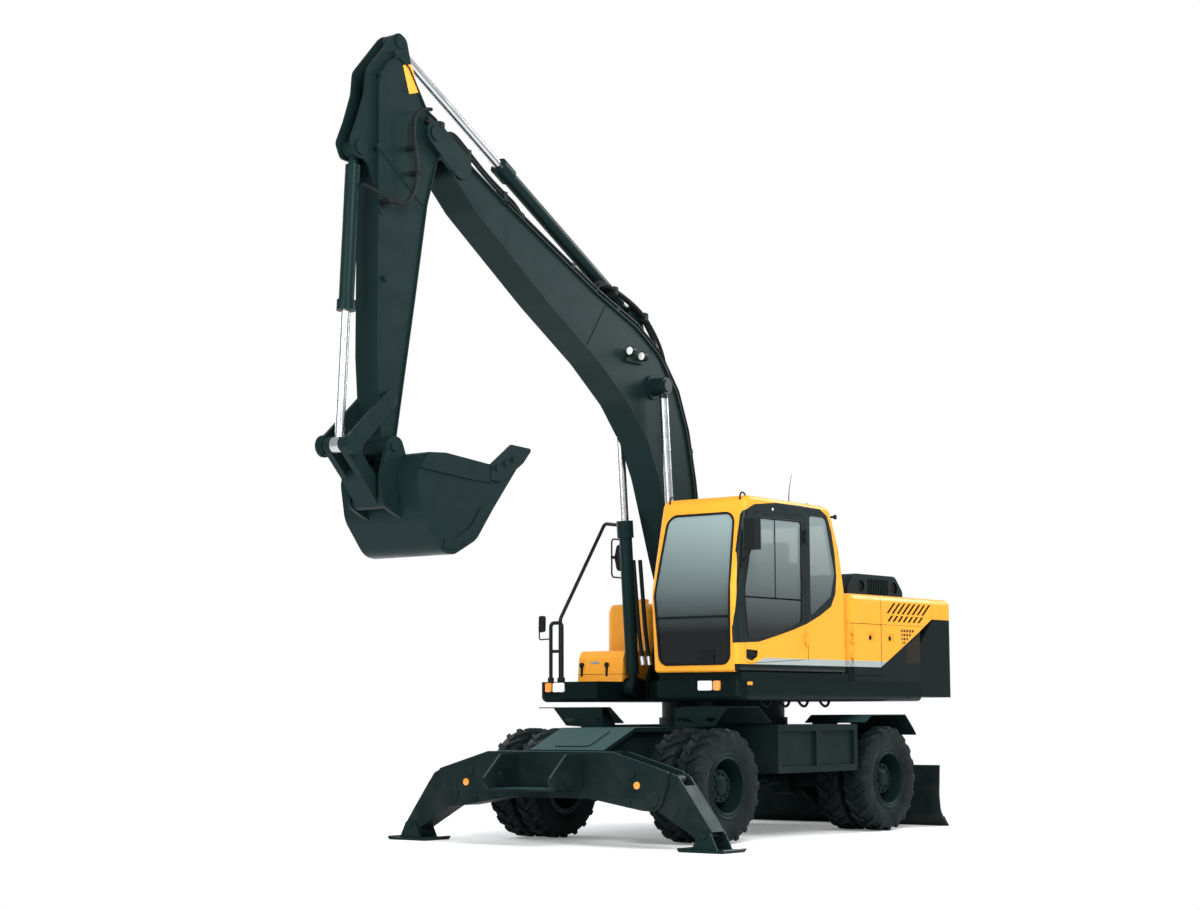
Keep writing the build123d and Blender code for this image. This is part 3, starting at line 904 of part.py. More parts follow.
with BuildPart() as cab_door:
    extrude(area(SIDE.offset(-CAB_LEFT), DOOR_OPENING, DOOR_RIM), amount=CAB_WALL)
    side_slab(DOOR_WINDOW, CAB_LEFT - CAB_WALL - 5, CAB_LEFT + 5, Mode.SUBTRACT)
    side_slab([(1375, 1788, 15), (1175, 1777, 15), (1190, 1720, 30), (1280, 1678, 40), (1375, 1700, 20)], CAB_LEFT - 20,
              CAB_LEFT + 5, Mode.SUBTRACT)
    for hinge_z in CAB_HINGES:
        hinge_leaf(DOOR_OPENING_REAR, CAB_HINGE_Y, hinge_z, DOOR_OPENING_REAR + 38, CAB_LEFT - 3)
cab_door.part.label = "cab_door"
export_step(cab_door.part, "parts/cab_door.step")

with BuildPart() as cab_door_glass:
    extrude(area(SIDE.offset(-CAB_LEFT + 8), DOOR_WINDOW, PANE_GAP), amount=PANE)
cab_door_glass.part.label = "cab_door_glass"
export_step(cab_door_glass.part, "parts/cab_door_glass.step")

with BuildPart() as cab_mirror:
    # Clip on the front pillar, a bent arm and the mirror's housing
    block((1400, 1465), (CAB_LEFT, CAB_LEFT + 28), (2560, 2650))
    rail([(1432, CAB_LEFT + 10, 2605), (1470, 1325, 2640), (1500, 1390, 2760)], 25, 13)
    plan_slab([(1465, 1305, 30), (1465, 1485, 30), (1535, 1485, 30), (1535, 1305, 30)], 2700, 2990)
cab_mirror.part.label = "cab_mirror"
export_step(cab_mirror.part, "parts/cab_mirror.step")

SEAT_X = 420.0
SEAT_Y = 740.0
CAB_INSIDE = CAB_FLOOR + 45

with BuildPart() as cab_interior:
    block((SEAT_X - 180, SEAT_X + 200), (SEAT_Y - 160, SEAT_Y + 160), (CAB_INSIDE, 1980))
    side_slab([(SEAT_X - 250, 1980, 0), (SEAT_X + 270, 1980, 40), (SEAT_X + 280, 2080, 50), (SEAT_X - 230, 2075, 0)],
              SEAT_Y - 250, SEAT_Y + 250)
    side_slab([(SEAT_X - 260, 2000, 0), (SEAT_X - 120, 2060, 0), (SEAT_X - 190, 2640, 50), (SEAT_X - 330, 2640, 50)],
              SEAT_Y - 240, SEAT_Y + 240)
    side_slab([(SEAT_X - 300, 2640, 20), (SEAT_X - 200, 2640, 20), (SEAT_X - 230, 2850, 40), (SEAT_X - 320, 2850, 40)],
              SEAT_Y - 130, SEAT_Y + 130)
    for side in (-1, 1):
        low = SEAT_Y + side * 345 - 75
        side_slab([(SEAT_X - 200, CAB_INSIDE, 0), (SEAT_X + 280, CAB_INSIDE, 0), (SEAT_X + 320, 2230, 60),
                   (SEAT_X - 200, 2210, 60)], low, low + 150)
    bar((1180, SEAT_Y, CAB_INSIDE), (1000, SEAT_Y, 2290), 35)
    block((1100, 1260), (SEAT_Y - 60, SEAT_Y + 60), (CAB_INSIDE - 40, CAB_INSIDE), Mode.SUBTRACT)
    with BuildSketch(Plane(origin=(1000 + SWING_X, SEAT_Y, 2290), z_dir=(-0.26, 0, 0.965))) as wheel_ring:
        Circle(190)
        Circle(162, mode=Mode.SUBTRACT)
        Rectangle(330, 40)
    extrude(wheel_ring.sketch, amount=26)
cab_interior.part.label = "cab_interior"
export_step(cab_interior.part, "parts/cab_interior.step")

# ================================================================ boom, arm and bucket
# ---------------------------------------------------------------- boom
BOOM_OUTLINE = [(375, 2180, 60), (395, 2700, 900), (498, 3304, 900), (531, 3502, 700), (643, 3993, 500),
                (807, 4377, 500), (1090, 4720, 420), (1460, 4950, 500), (2088, 5200, 0), (2836, 5553, 0),
                (3547, 5894, 0), (4040, 6150, 60), (4175, 6130, 60), (4180, 5960, 90), (3887, 5694, 300),
                (2837, 4989, 0), (2092, 4539, 500), (1627, 4188, 500), (1310, 3830, 500), (1135, 3500, 500),
                (1045, 3250, 500), (850, 2700, 900), (640, 2160, 60)]
BOOM_FLANGE = 20.0            # how far the side plates sit inside the edges of the flanges
BOOM_FLANGE_EDGE = 16.0
EAR_RADIUS = 112.0
ARM_PIN_RADIUS = 50.0
EAR_INNER = ARM_HALF + SIDE_GAP
BOOM_EYE_BOSS = 120.0
RAM_BOSS_FACE = 225.0
ARM_BASE_LUG = 24.0
ARM_RAM_EYE_HALF = 60.0


def boom_y(offset_low, offset_high):
    """Limits across the boom's plane."""
    return BOOM_Y + offset_low, BOOM_Y + offset_high


def ear_pair(rows, inner, plate, middle=BOOM_Y):
    """Two equal plates on both sides of a gap, seen from the side."""
    side_slab(rows, middle + inner, middle + inner + plate)
    side_slab(rows, middle - inner - plate, middle - inner)


def round_link(start, end, start_radius, end_radius, y_low, y_high, mode=Mode.ADD):
    """Plate with two round ends of their own radii joined by straight flanks."""
    turn = atan2(end[1] - start[1], end[0] - start[0])
    lean = pi / 2 - (start_radius - end_radius) / hypot(end[0] - start[0], end[1] - start[1])
    corners = [(start, start_radius, turn + lean), (end, end_radius, turn + lean), (end, end_radius, turn - lean),
               (start, start_radius, turn - lean)]
    rows = [(c[0] + r * cos(a), c[1] + r * sin(a), 0) for c, r, a in corners]
    side_slab(rows, y_low, y_high, mode)
    pin(*start, y_low, y_high, start_radius, mode)
    pin(*end, y_low, y_high, end_radius, mode)


with BuildPart() as boom:
    side_slab(BOOM_OUTLINE, *boom_y(-BOOM_HALF, BOOM_HALF))
    # Side plates sit a little inside the edges of the top and bottom flanges
    for side in (-1, 1):
        face = BOOM_Y + side * BOOM_HALF
        plane = SIDE.offset(-max(face, face - side * BOOM_FLANGE))
        extrude(area(plane, BOOM_OUTLINE, BOOM_FLANGE_EDGE), amount=BOOM_FLANGE, mode=Mode.SUBTRACT)
    # Foot boss, tip ears and the bosses of the cylinder pins
    pin(*BOOM_FOOT, *boom_y(-BOOM_HALF, BOOM_HALF), 150)
    for low in (BOOM_Y + EAR_INNER, BOOM_Y - EAR_INNER - 40):
        round_link((4060, 6070), ARM_PIN, 130, EAR_RADIUS, low, low + 40)
    pin(*BOOM_EYE, *boom_y(-RAM_BOSS_FACE, RAM_BOSS_FACE), 88)
    pin(*BOOM_EYE, *boom_y(-BOOM_HALF - 5, BOOM_HALF + 5), BOOM_EYE_BOSS)
    ear_pair([(1200, 4780, 0), (ARM_RAM_BASE[0] - 95, ARM_RAM_BASE[1] + 30, 80), (ARM_RAM_BASE[0] + 30, ARM_RAM_BASE[1] + 110, 80),
              (ARM_RAM_BASE[0] + 110, ARM_RAM_BASE[1] - 20, 80), (1560, 4960, 0)], ARM_RAM_EYE_HALF + SIDE_GAP, ARM_BASE_LUG)
    pin(*ARM_RAM_BASE, *boom_y(-ARM_RAM_EYE_HALF - 35, ARM_RAM_EYE_HALF + 35), 38)
    # Work lamps on a bracket at the left side
    block((1385, 1660), (BOOM_Y + BOOM_HALF - BOOM_FLANGE - 5, BOOM_Y + BOOM_HALF + 12), (4590, 4625))
    for x, z in ((1622, 4690), (1430, 4660)):
        block((x - 18, x + 18), (BOOM_Y + BOOM_HALF - 10, BOOM_Y + BOOM_HALF + 10), (4600, z))
        shaft(BOOM_Y + BOOM_HALF + 40, z, x - 30, x + 30, 46)
    # Arm pin between the ears, and the bore of the foot
    for side in (-1, 1):
        low = BOOM_Y + min(side * (EAR_INNER + 40), side * (EAR_INNER + 52))
        pin(*ARM_PIN, low, low + 12, 70)
    pin(*ARM_PIN, *boom_y(-EAR_INNER - 10, EAR_INNER + 10), ARM_PIN_RADIUS)
    pin(*BOOM_FOOT, *boom_y(-BOOM_HALF - 5, BOOM_HALF + 5), FOOT_PIN + RUNNING_GAP, Mode.SUBTRACT)
boom.part.label = "boom"
export_step(boom.part, "parts/boom.step")

PIPE_RADIUS = 14.0
PIPE_LIFT = 36.0              # pipe centres above the boom's back
PIPE_PLACES = (-150, -112, 112, 150)
PIPE_ROUTE = [(395, 2800), (498, 3304), (531, 3502), (643, 3993), (807, 4377), (1090, 4720), (1460, 4950),
              (2088, 5200), (2836, 5553), (3547, 5894)]


def lifted(points, lift):
    """Points of a run in the side view, each moved to the left of the run by a lift."""
    moved = []
    for index, point in enumerate(points):
        back = points[max(index - 1, 0)]
        ahead = points[min(index + 1, len(points) - 1)]
        run = hypot(ahead[0] - back[0], ahead[1] - back[1])
        moved.append((point[0] - lift * (ahead[1] - back[1]) / run, point[1] + lift * (ahead[0] - back[0]) / run))
    return moved


with BuildPart() as boom_pipes:
    for pipe_y in PIPE_PLACES:
        rail([(x, BOOM_Y + pipe_y, z) for x, z in lifted(PIPE_ROUTE, PIPE_LIFT)], 250, PIPE_RADIUS, 8)
    # Clamp blocks between the pipes and the boom's back
    for start, end, distance in ((PIPE_ROUTE[1], PIPE_ROUTE[0], 150), (PIPE_ROUTE[3], PIPE_ROUTE[2], 200),
                                 (PIPE_ROUTE[6], PIPE_ROUTE[7], 330), (PIPE_ROUTE[7], PIPE_ROUTE[8], 420),
                                 (PIPE_ROUTE[8], PIPE_ROUTE[9], 420)):
        spot = along(start, end, distance)
        run = Vector(end[0] - start[0], 0, end[1] - start[1]).normalized()
        up = Vector(-abs(run.Z), 0, abs(run.X))
        for side in (-1, 1):
            middle = BOOM_Y + side * (PIPE_PLACES[2] + PIPE_PLACES[3]) / 2
            seat = Plane(origin=(spot[0] + SWING_X, middle, spot[1]) + up * (PIPE_LIFT / 2 + 9), x_dir=run,
                         z_dir=(0, -1, 0))
            with BuildSketch(seat.offset(-32)) as clamp:
                Rectangle(46, PIPE_LIFT + 16)
            extrude(clamp.sketch, amount=64)
boom_pipes.part.label = "boom_pipes"
export_step(boom_pipes.part, "parts/boom_pipes.step")

# ---------------------------------------------------------------- boom cylinders
BOOM_BARREL = 1660.0
BOOM_ROD_LENGTH = hypot(BOOM_EYE[0] - BOOM_RAM_FOOT[0], BOOM_EYE[1] - BOOM_RAM_FOOT[1])
RAM_NECK = 140.0
EYE_RADIUS = 85.0
ROD_CAP = 20.0

with BuildPart() as boom_cylinder_barrels:
    for side in (-1, 1):
        y = BOOM_Y + side * BOOM_RAM_Y
        ram_piece(BOOM_RAM_FOOT, BOOM_EYE, y, 0, RAM_NECK + 10, 44)
        ram_piece(BOOM_RAM_FOOT, BOOM_EYE, y, RAM_NECK, BOOM_BARREL, BOOM_RAM_RADIUS)
        ram_piece(BOOM_RAM_FOOT, BOOM_EYE, y, BOOM_BARREL - 170, BOOM_BARREL, BOOM_RAM_RADIUS + 18)
        ram_piece(BOOM_RAM_FOOT, BOOM_EYE, y, RAM_NECK + 60, BOOM_BARREL, BOOM_ROD_RADIUS + RUNNING_GAP, Mode.SUBTRACT)
        pin(*BOOM_RAM_FOOT, y - RAM_EYE_HALF, y + RAM_EYE_HALF, EYE_RADIUS)
        pin(*BOOM_RAM_FOOT, y - RAM_EYE_HALF - 5, y + RAM_EYE_HALF + 5, RAM_FOOT_PIN + RUNNING_GAP, Mode.SUBTRACT)
boom_cylinder_barrels.part.label = "boom_cylinder_barrels"
export_step(boom_cylinder_barrels.part, "parts/boom_cylinder_barrels.step")

with BuildPart() as boom_cylinder_rods:
    for side in (-1, 1):
        y = BOOM_Y + side * BOOM_RAM_Y
        ram_piece(BOOM_RAM_FOOT, BOOM_EYE, y, 1320, BOOM_ROD_LENGTH, BOOM_ROD_RADIUS)
        pin(*BOOM_EYE, y - RAM_EYE_HALF, y + RAM_EYE_HALF, EYE_RADIUS)
        cap = y + side * RAM_EYE_HALF
        pin(*BOOM_EYE, min(cap, cap + side * ROD_CAP), max(cap, cap + side * ROD_CAP), 62)
boom_cylinder_rods.part.label = "boom_cylinder_rods"
export_step(boom_cylinder_rods.part, "parts/boom_cylinder_rods.step")

# ---------------------------------------------------------------- arm cylinder
ARM_BARREL = 2260.0
ARM_ROD_LENGTH = hypot(ARM_EYE[0] - ARM_RAM_BASE[0], ARM_EYE[1] - ARM_RAM_BASE[1])

with BuildPart() as arm_cylinder_barrel:
    ram_piece(ARM_RAM_BASE, ARM_EYE, BOOM_Y, 0, 200, 45)
    ram_piece(ARM_RAM_BASE, ARM_EYE, BOOM_Y, 170, ARM_BARREL, ARM_RAM_RADIUS)
    ram_piece(ARM_RAM_BASE, ARM_EYE, BOOM_Y, ARM_BARREL - 170, ARM_BARREL, ARM_RAM_RADIUS + 18)
    ram_piece(ARM_RAM_BASE, ARM_EYE, BOOM_Y, 260, ARM_BARREL, ARM_ROD_RADIUS + RUNNING_GAP, Mode.SUBTRACT)
    pin(*ARM_RAM_BASE, *boom_y(-ARM_RAM_EYE_HALF, ARM_RAM_EYE_HALF), 80)
    pin(*ARM_RAM_BASE, *boom_y(-ARM_RAM_EYE_HALF - 5, ARM_RAM_EYE_HALF + 5), 38 + RUNNING_GAP, Mode.SUBTRACT)
arm_cylinder_barrel.part.label = "arm_cylinder_barrel"
export_step(arm_cylinder_barrel.part, "parts/arm_cylinder_barrel.step")

with BuildPart() as arm_cylinder_rod:
    ram_piece(ARM_RAM_BASE, ARM_EYE, BOOM_Y, 1600, ARM_ROD_LENGTH, ARM_ROD_RADIUS)
    pin(*ARM_EYE, *boom_y(-ARM_RAM_EYE_HALF, ARM_RAM_EYE_HALF), 75)
arm_cylinder_rod.part.label = "arm_cylinder_rod"
export_step(arm_cylinder_rod.part, "parts/arm_cylinder_rod.step")

# ---------------------------------------------------------------- arm
ARM_OUTLINE = [(5082, 6650, 120), (5082, 4240, 0), (5030, 3560, 100), (4942, 3370, 60), (4850, 3470, 60),
               (4749, 4024, 0), (4618, 4735, 0), (4460, 5641, 0), (4300, 6150, 110), (4300, 6420, 110),
               (4466, 6488, 200), (4700, 6830, 150), (4840, 6900, 60), (4990, 6800, 100)]
ARM_TOP_PLATE = [(4466, 6470, 0), (4640, 6860, 150), (4700, 7080, 90), (4800, 7128, 80), (4880, 7070, 80),
                 (5195, 6704, 120), (5215, 6500, 200), (5300, 6250, 200), (5391, 6040, 75), (5330, 5915, 60),
                 (5180, 5900, 60), (5082, 5700, 80), (5000, 5700, 0), (4700, 6300, 0)]
TOP_PLATE_INNER = 70.0
TOP_PLATE_WALL = 22.0
ROD_SLOT = [(4560, 6770, 0), (4560, 7000, 0), (4880, 7000, 0), (4880, 6770, 60)]      # room for the rod's eye
ROCKER_PLATE = 30.0
ROCKER_INNER = ARM_HALF + SIDE_GAP
ARM_TIP_HALF = ROCKER_INNER + ROCKER_PLATE
BUCKET_PIN_RADIUS = 42.0
ROCKER_PIN_RADIUS = 38.0

with BuildPart() as arm:
    side_slab(ARM_OUTLINE, *boom_y(-ARM_HALF, ARM_HALF))
    for side in (-1, 1):
        face = BOOM_Y + side * ARM_HALF
        plane = SIDE.offset(-max(face, face - side * 12))
        extrude(area(plane, ARM_OUTLINE, 14), amount=12, mode=Mode.SUBTRACT)
    side_slab(ROD_SLOT, *boom_y(-TOP_PLATE_INNER, TOP_PLATE_INNER), Mode.SUBTRACT)
    ear_pair(ARM_TOP_PLATE, TOP_PLATE_INNER, TOP_PLATE_WALL)
    pin(*ARM_PIN, *boom_y(-ARM_HALF, ARM_HALF), 130)
    pin(*BUCKET_PIN, *boom_y(-ARM_TIP_HALF, ARM_TIP_HALF), 88)
    pin(*ROCKER_PIN, *boom_y(-ARM_HALF, ARM_HALF), 78)
    for side in (-1, 1):
        for spot, radius in ((ARM_EYE, 60), (BUCKET_RAM_BASE, 70)):
            face = side * (TOP_PLATE_INNER + TOP_PLATE_WALL)
            pin(*spot, *boom_y(min(face, face + side * 12), max(face, face + side * 12)), radius)
    pin(*BUCKET_RAM_BASE, *boom_y(-TOP_PLATE_INNER - 5, TOP_PLATE_INNER + 5), 38)
    pin(*ROCKER_PIN, *boom_y(-ARM_TIP_HALF, ARM_TIP_HALF), ROCKER_PIN_RADIUS)
    pin(*ARM_PIN, *boom_y(-ARM_HALF - 5, ARM_HALF + 5), ARM_PIN_RADIUS + RUNNING_GAP, Mode.SUBTRACT)
    pin(*BUCKET_PIN, *boom_y(-ARM_TIP_HALF - 5, ARM_TIP_HALF + 5), BUCKET_PIN_RADIUS + RUNNING_GAP, Mode.SUBTRACT)
arm.part.label = "arm"
export_step(arm.part, "parts/arm.step")

# ---------------------------------------------------------------- bucket cylinder, rockers and link
BUCKET_BARREL = 1420.0
BUCKET_RAM_LENGTH = hypot(LINK_PIN[0] - BUCKET_RAM_BASE[0], LINK_PIN[1] - BUCKET_RAM_BASE[1])
LINK_CAP = 28.0

with BuildPart() as bucket_cylinder_barrel:
    ram_piece(BUCKET_RAM_BASE, LINK_PIN, BOOM_Y, 0, 180, 42)
    ram_piece(BUCKET_RAM_BASE, LINK_PIN, BOOM_Y, 150, BUCKET_BARREL, BUCKET_RAM_RADIUS)
    ram_piece(BUCKET_RAM_BASE, LINK_PIN, BOOM_Y, BUCKET_BARREL - 90, BUCKET_BARREL, BUCKET_RAM_RADIUS + 16)
    ram_piece(BUCKET_RAM_BASE, LINK_PIN, BOOM_Y, 240, BUCKET_BARREL, BUCKET_ROD_RADIUS + RUNNING_GAP, Mode.SUBTRACT)
    pin(*BUCKET_RAM_BASE, *boom_y(-TOP_PLATE_INNER + SIDE_GAP, TOP_PLATE_INNER - SIDE_GAP), 75)
    pin(*BUCKET_RAM_BASE, *boom_y(-TOP_PLATE_INNER, TOP_PLATE_INNER), 38 + RUNNING_GAP, Mode.SUBTRACT)
bucket_cylinder_barrel.part.label = "bucket_cylinder_barrel"
export_step(bucket_cylinder_barrel.part, "parts/bucket_cylinder_barrel.step")

with BuildPart() as bucket_cylinder_rod:
    ram_piece(BUCKET_RAM_BASE, LINK_PIN, BOOM_Y, 1290, BUCKET_RAM_LENGTH, BUCKET_ROD_RADIUS)
    pin(*LINK_PIN, *boom_y(-48, 48), 70)
bucket_cylinder_rod.part.label = "bucket_cylinder_rod"
export_step(bucket_cylinder_rod.part, "parts/bucket_cylinder_rod.step")

with BuildPart() as rocker_links:
    for side in (-1, 1):
        low = BOOM_Y + min(side * ROCKER_INNER, side * (ROCKER_INNER + ROCKER_PLATE))
        round_link(ROCKER_PIN, LINK_PIN, 78, 85, low, low + ROCKER_PLATE)
        cap = BOOM_Y + side * (ROCKER_INNER + ROCKER_PLATE)
        pin(*LINK_PIN, min(cap, cap + side * LINK_CAP), max(cap, cap + side * LINK_CAP), LINK_BOSS)
        pin(*ROCKER_PIN, low - 5, low + ROCKER_PLATE + 5, ROCKER_PIN_RADIUS + RUNNING_GAP, Mode.SUBTRACT)
rocker_links.part.label = "rocker_links"
export_step(rocker_links.part, "parts/rocker_links.step")

with BuildPart() as pull_link:
    for side in (-1, 1):
        low = BOOM_Y + min(side * 56, side * 126)
        round_link(LINK_PIN, along(LINK_PIN, BUCKET_EYE, 430), 72, 60, low, low + 70)
    round_link(along(LINK_PIN, BUCKET_EYE, 330), BUCKET_EYE, 70, 75, *boom_y(-126, 126))
    pin(*BUCKET_EYE, *boom_y(-ARM_TIP_HALF, ARM_TIP_HALF), 75)
    pin(*BUCKET_EYE, *boom_y(-ARM_TIP_HALF - 5, ARM_TIP_HALF + 5), BUCKET_PIN_RADIUS + RUNNING_GAP, Mode.SUBTRACT)
pull_link.part.label = "pull_link"
export_step(pull_link.part, "parts/pull_link.step")

# ---------------------------------------------------------------- bucket
BUCKET_SHELL = [(3453, 3500, 0), (3947, 2972, 250), (4166, 2690, 250), (4457, 2545, 150), (4620, 2560, 200),
                (4866, 2860, 250), (4925, 3190, 150), (4808, 3400, 60)]
BUCKET_SIDE = [(3560, 3430, 0)] + BUCKET_SHELL[1:] + [(4560, 3415, 200), (4000, 3364, 200)]
BUCKET_BAND = [(3985, 3200, 0), (4000, 3352, 0), (4560, 3405, 200), (4800, 3392, 40), (4890, 3262, 0), (4660, 3242, 0),
               (4272, 3212, 0)]
BUCKET_CUTTER = [(3992, 3225, 0), (3985, 3370, 30), (3720, 3560, 20), (3430, 3545, 20), (3560, 3405, 0), (3850, 3215, 40)]
BUCKET_STRIP = [(4020, 2960, 0), (4166, 2740, 200), (4457, 2590, 120), (4600, 2600, 15), (4570, 2670, 15),
                (4440, 2690, 100), (4240, 2800, 200), (4090, 3010, 60)]
BUCKET_WALL = 24.0
EAR_PLATE = 38.0
BUCKET_EAR_INNER = ARM_TIP_HALF + SIDE_GAP

with BuildPart() as bucket:
    side_slab(BUCKET_SIDE, *boom_y(-BUCKET_HALF, BUCKET_HALF))
    extrude(area(SIDE.offset(-(BOOM_Y + BUCKET_HALF - BUCKET_WALL)), BUCKET_SIDE, BUCKET_WALL),
            amount=2 * (BUCKET_HALF - BUCKET_WALL), mode=Mode.SUBTRACT)
    side_slab([(3700, 3345, 0), (3550, 3600, 0), (4700, 3600, 0), (4740, 3385, 0), (4560, 3380, 200), (4000, 3330, 200)],
              *boom_y(-BUCKET_HALF + BUCKET_WALL, BUCKET_HALF - BUCKET_WALL), Mode.SUBTRACT)
    ear_pair([(4780, 3350, 60), (4860, 3540, 90), (5010, 3540, 90), (5100, 3200, 120), (5090, 2950, 90),
              (4960, 2890, 60), (4800, 2830, 0)], BUCKET_EAR_INNER, EAR_PLATE)
    # Bands along the top edges, bolted side cutters and wear strips on both sides
    for side in (-1, 1):
        for rows, depth in ((BUCKET_BAND, 12), (BUCKET_CUTTER, 18), (BUCKET_STRIP, 10)):
            face = side * BUCKET_HALF
            side_slab(rows, *boom_y(min(face, face + side * depth), max(face, face + side * depth)))
        for bolt in ((3915, 3335), (3800, 3385), (3690, 3430)):
            pin(*bolt, *boom_y(*sorted((side * BUCKET_HALF, side * (BUCKET_HALF + 34)))), 24)
    for spot in (BUCKET_PIN, BUCKET_EYE):
        pin(*spot, *boom_y(-BUCKET_EAR_INNER - EAR_PLATE - 14, BUCKET_EAR_INNER + EAR_PLATE + 14), BUCKET_PIN_RADIUS)
bucket.part.label = "bucket"
export_step(bucket.part, "parts/bucket.step")
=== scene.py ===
"""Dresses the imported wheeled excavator: paints, glass, tyres, hoses, seat, small fittings and the studio."""

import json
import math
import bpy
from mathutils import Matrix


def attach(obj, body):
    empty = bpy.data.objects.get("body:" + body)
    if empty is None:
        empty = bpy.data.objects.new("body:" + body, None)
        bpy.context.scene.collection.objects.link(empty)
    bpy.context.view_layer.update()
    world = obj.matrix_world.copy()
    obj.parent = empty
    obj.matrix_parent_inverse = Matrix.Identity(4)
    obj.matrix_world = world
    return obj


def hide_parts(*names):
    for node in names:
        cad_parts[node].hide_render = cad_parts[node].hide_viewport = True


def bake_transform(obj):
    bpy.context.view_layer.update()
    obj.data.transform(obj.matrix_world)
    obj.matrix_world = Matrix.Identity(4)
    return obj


bl_info = {
    "name": "Wheeled Excavator Finish",
    "version": (1, 0, 0),
    "blender": (4, 5, 0),
    "location": "View3D > Sidebar > Excavator",
    "description": "Paints, glazing, hoses, lamps and small fittings for a wheeled excavator",
    "category": "Object",
}

import bmesh
import bpy
from bpy.props import FloatProperty, FloatVectorProperty, PointerProperty
from mathutils import Matrix, Vector

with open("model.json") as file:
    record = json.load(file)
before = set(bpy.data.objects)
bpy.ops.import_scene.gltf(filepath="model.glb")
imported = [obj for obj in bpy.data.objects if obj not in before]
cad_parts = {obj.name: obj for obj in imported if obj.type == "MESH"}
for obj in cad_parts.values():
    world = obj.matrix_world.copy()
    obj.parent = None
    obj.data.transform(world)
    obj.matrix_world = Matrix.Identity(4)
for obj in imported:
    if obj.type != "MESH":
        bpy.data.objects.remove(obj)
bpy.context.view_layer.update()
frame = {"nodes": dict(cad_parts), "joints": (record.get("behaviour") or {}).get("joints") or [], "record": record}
NODES = frame["nodes"]
JOINTS = {joint["name"]: joint for joint in frame["joints"]}


# ---------------------------------------------------------------- sizes taken from the frame
def joint_place(name):
    """Point on a joint's axis, in metres."""
    return Vector(JOINTS[name]["pos_m"])


SWING_X = joint_place("slew").x
BOOM_Y = joint_place("boom_lift").y


def spot(x, y, z):
    """Point given in millimetres from the swing axis, as metres in the row frame."""
    return Vector((SWING_X + x / 1000, y / 1000, z / 1000))


def boom_spot(x, z, aside=0.0):
    """Point in the boom's own plane, in millimetres from the swing axis, set aside to the left."""
    return spot(x, BOOM_Y * 1000 + aside, z)


# ---------------------------------------------------------------- what a user would change
class ExcavatorPaint(bpy.types.PropertyGroup):
    frame_colour: FloatVectorProperty(
        name="Frame paint", description="Dark blue green of the boom, chassis and tail",
        subtype="COLOR", size=3, min=0, max=1, default=(0.0062, 0.0148, 0.0148))
    panel_colour: FloatVectorProperty(
        name="Panel paint", description="Amber yellow of the cab and the body panels",
        subtype="COLOR", size=3, min=0, max=1, default=(0.820, 0.335, 0.030))
    stripe_colour: FloatVectorProperty(
        name="Stripe", description="Pale grey band low on the panels",
        subtype="COLOR", size=3, min=0, max=1, default=(0.32, 0.355, 0.345))
    dust: FloatProperty(
        name="Dust", description="How much pale dust lies on the running gear",
        subtype="FACTOR", min=0, max=1, default=0.25)


class ExcavatorStage(bpy.types.PropertyGroup):
    lens: FloatProperty(name="Lens", description="Focal length of the camera", subtype="DISTANCE_CAMERA",
                        default=66.2, min=10)
    eye: FloatVectorProperty(name="Eye", description="Where the camera stands", subtype="TRANSLATION", size=3,
                             unit="LENGTH", default=(18.4846 + SWING_X, 12.9176, 1.2165))
    heading: FloatProperty(name="Heading", description="Compass angle of the view", subtype="ANGLE",
                           default=3.8065)
    pitch: FloatProperty(name="Pitch", description="Upward tilt of the view", subtype="ANGLE", default=0.1155)
    roll: FloatProperty(name="Roll", description="Roll of the view", subtype="ANGLE", default=-0.0038)


# ---------------------------------------------------------------- materials
WHITE = (1, 1, 1, 1)
CLOUDS = (1.7, 4.0)             # scale and detail of a noise
SMEARS = (6.0, 5.0)
PEEL = (420.0, 2.0)


def metres(name, value):
    """Millimetres on an axis as metres in the row frame. X is measured from the swing axis."""
    return value / 1000 + (SWING_X if name == "X" else 0.0)


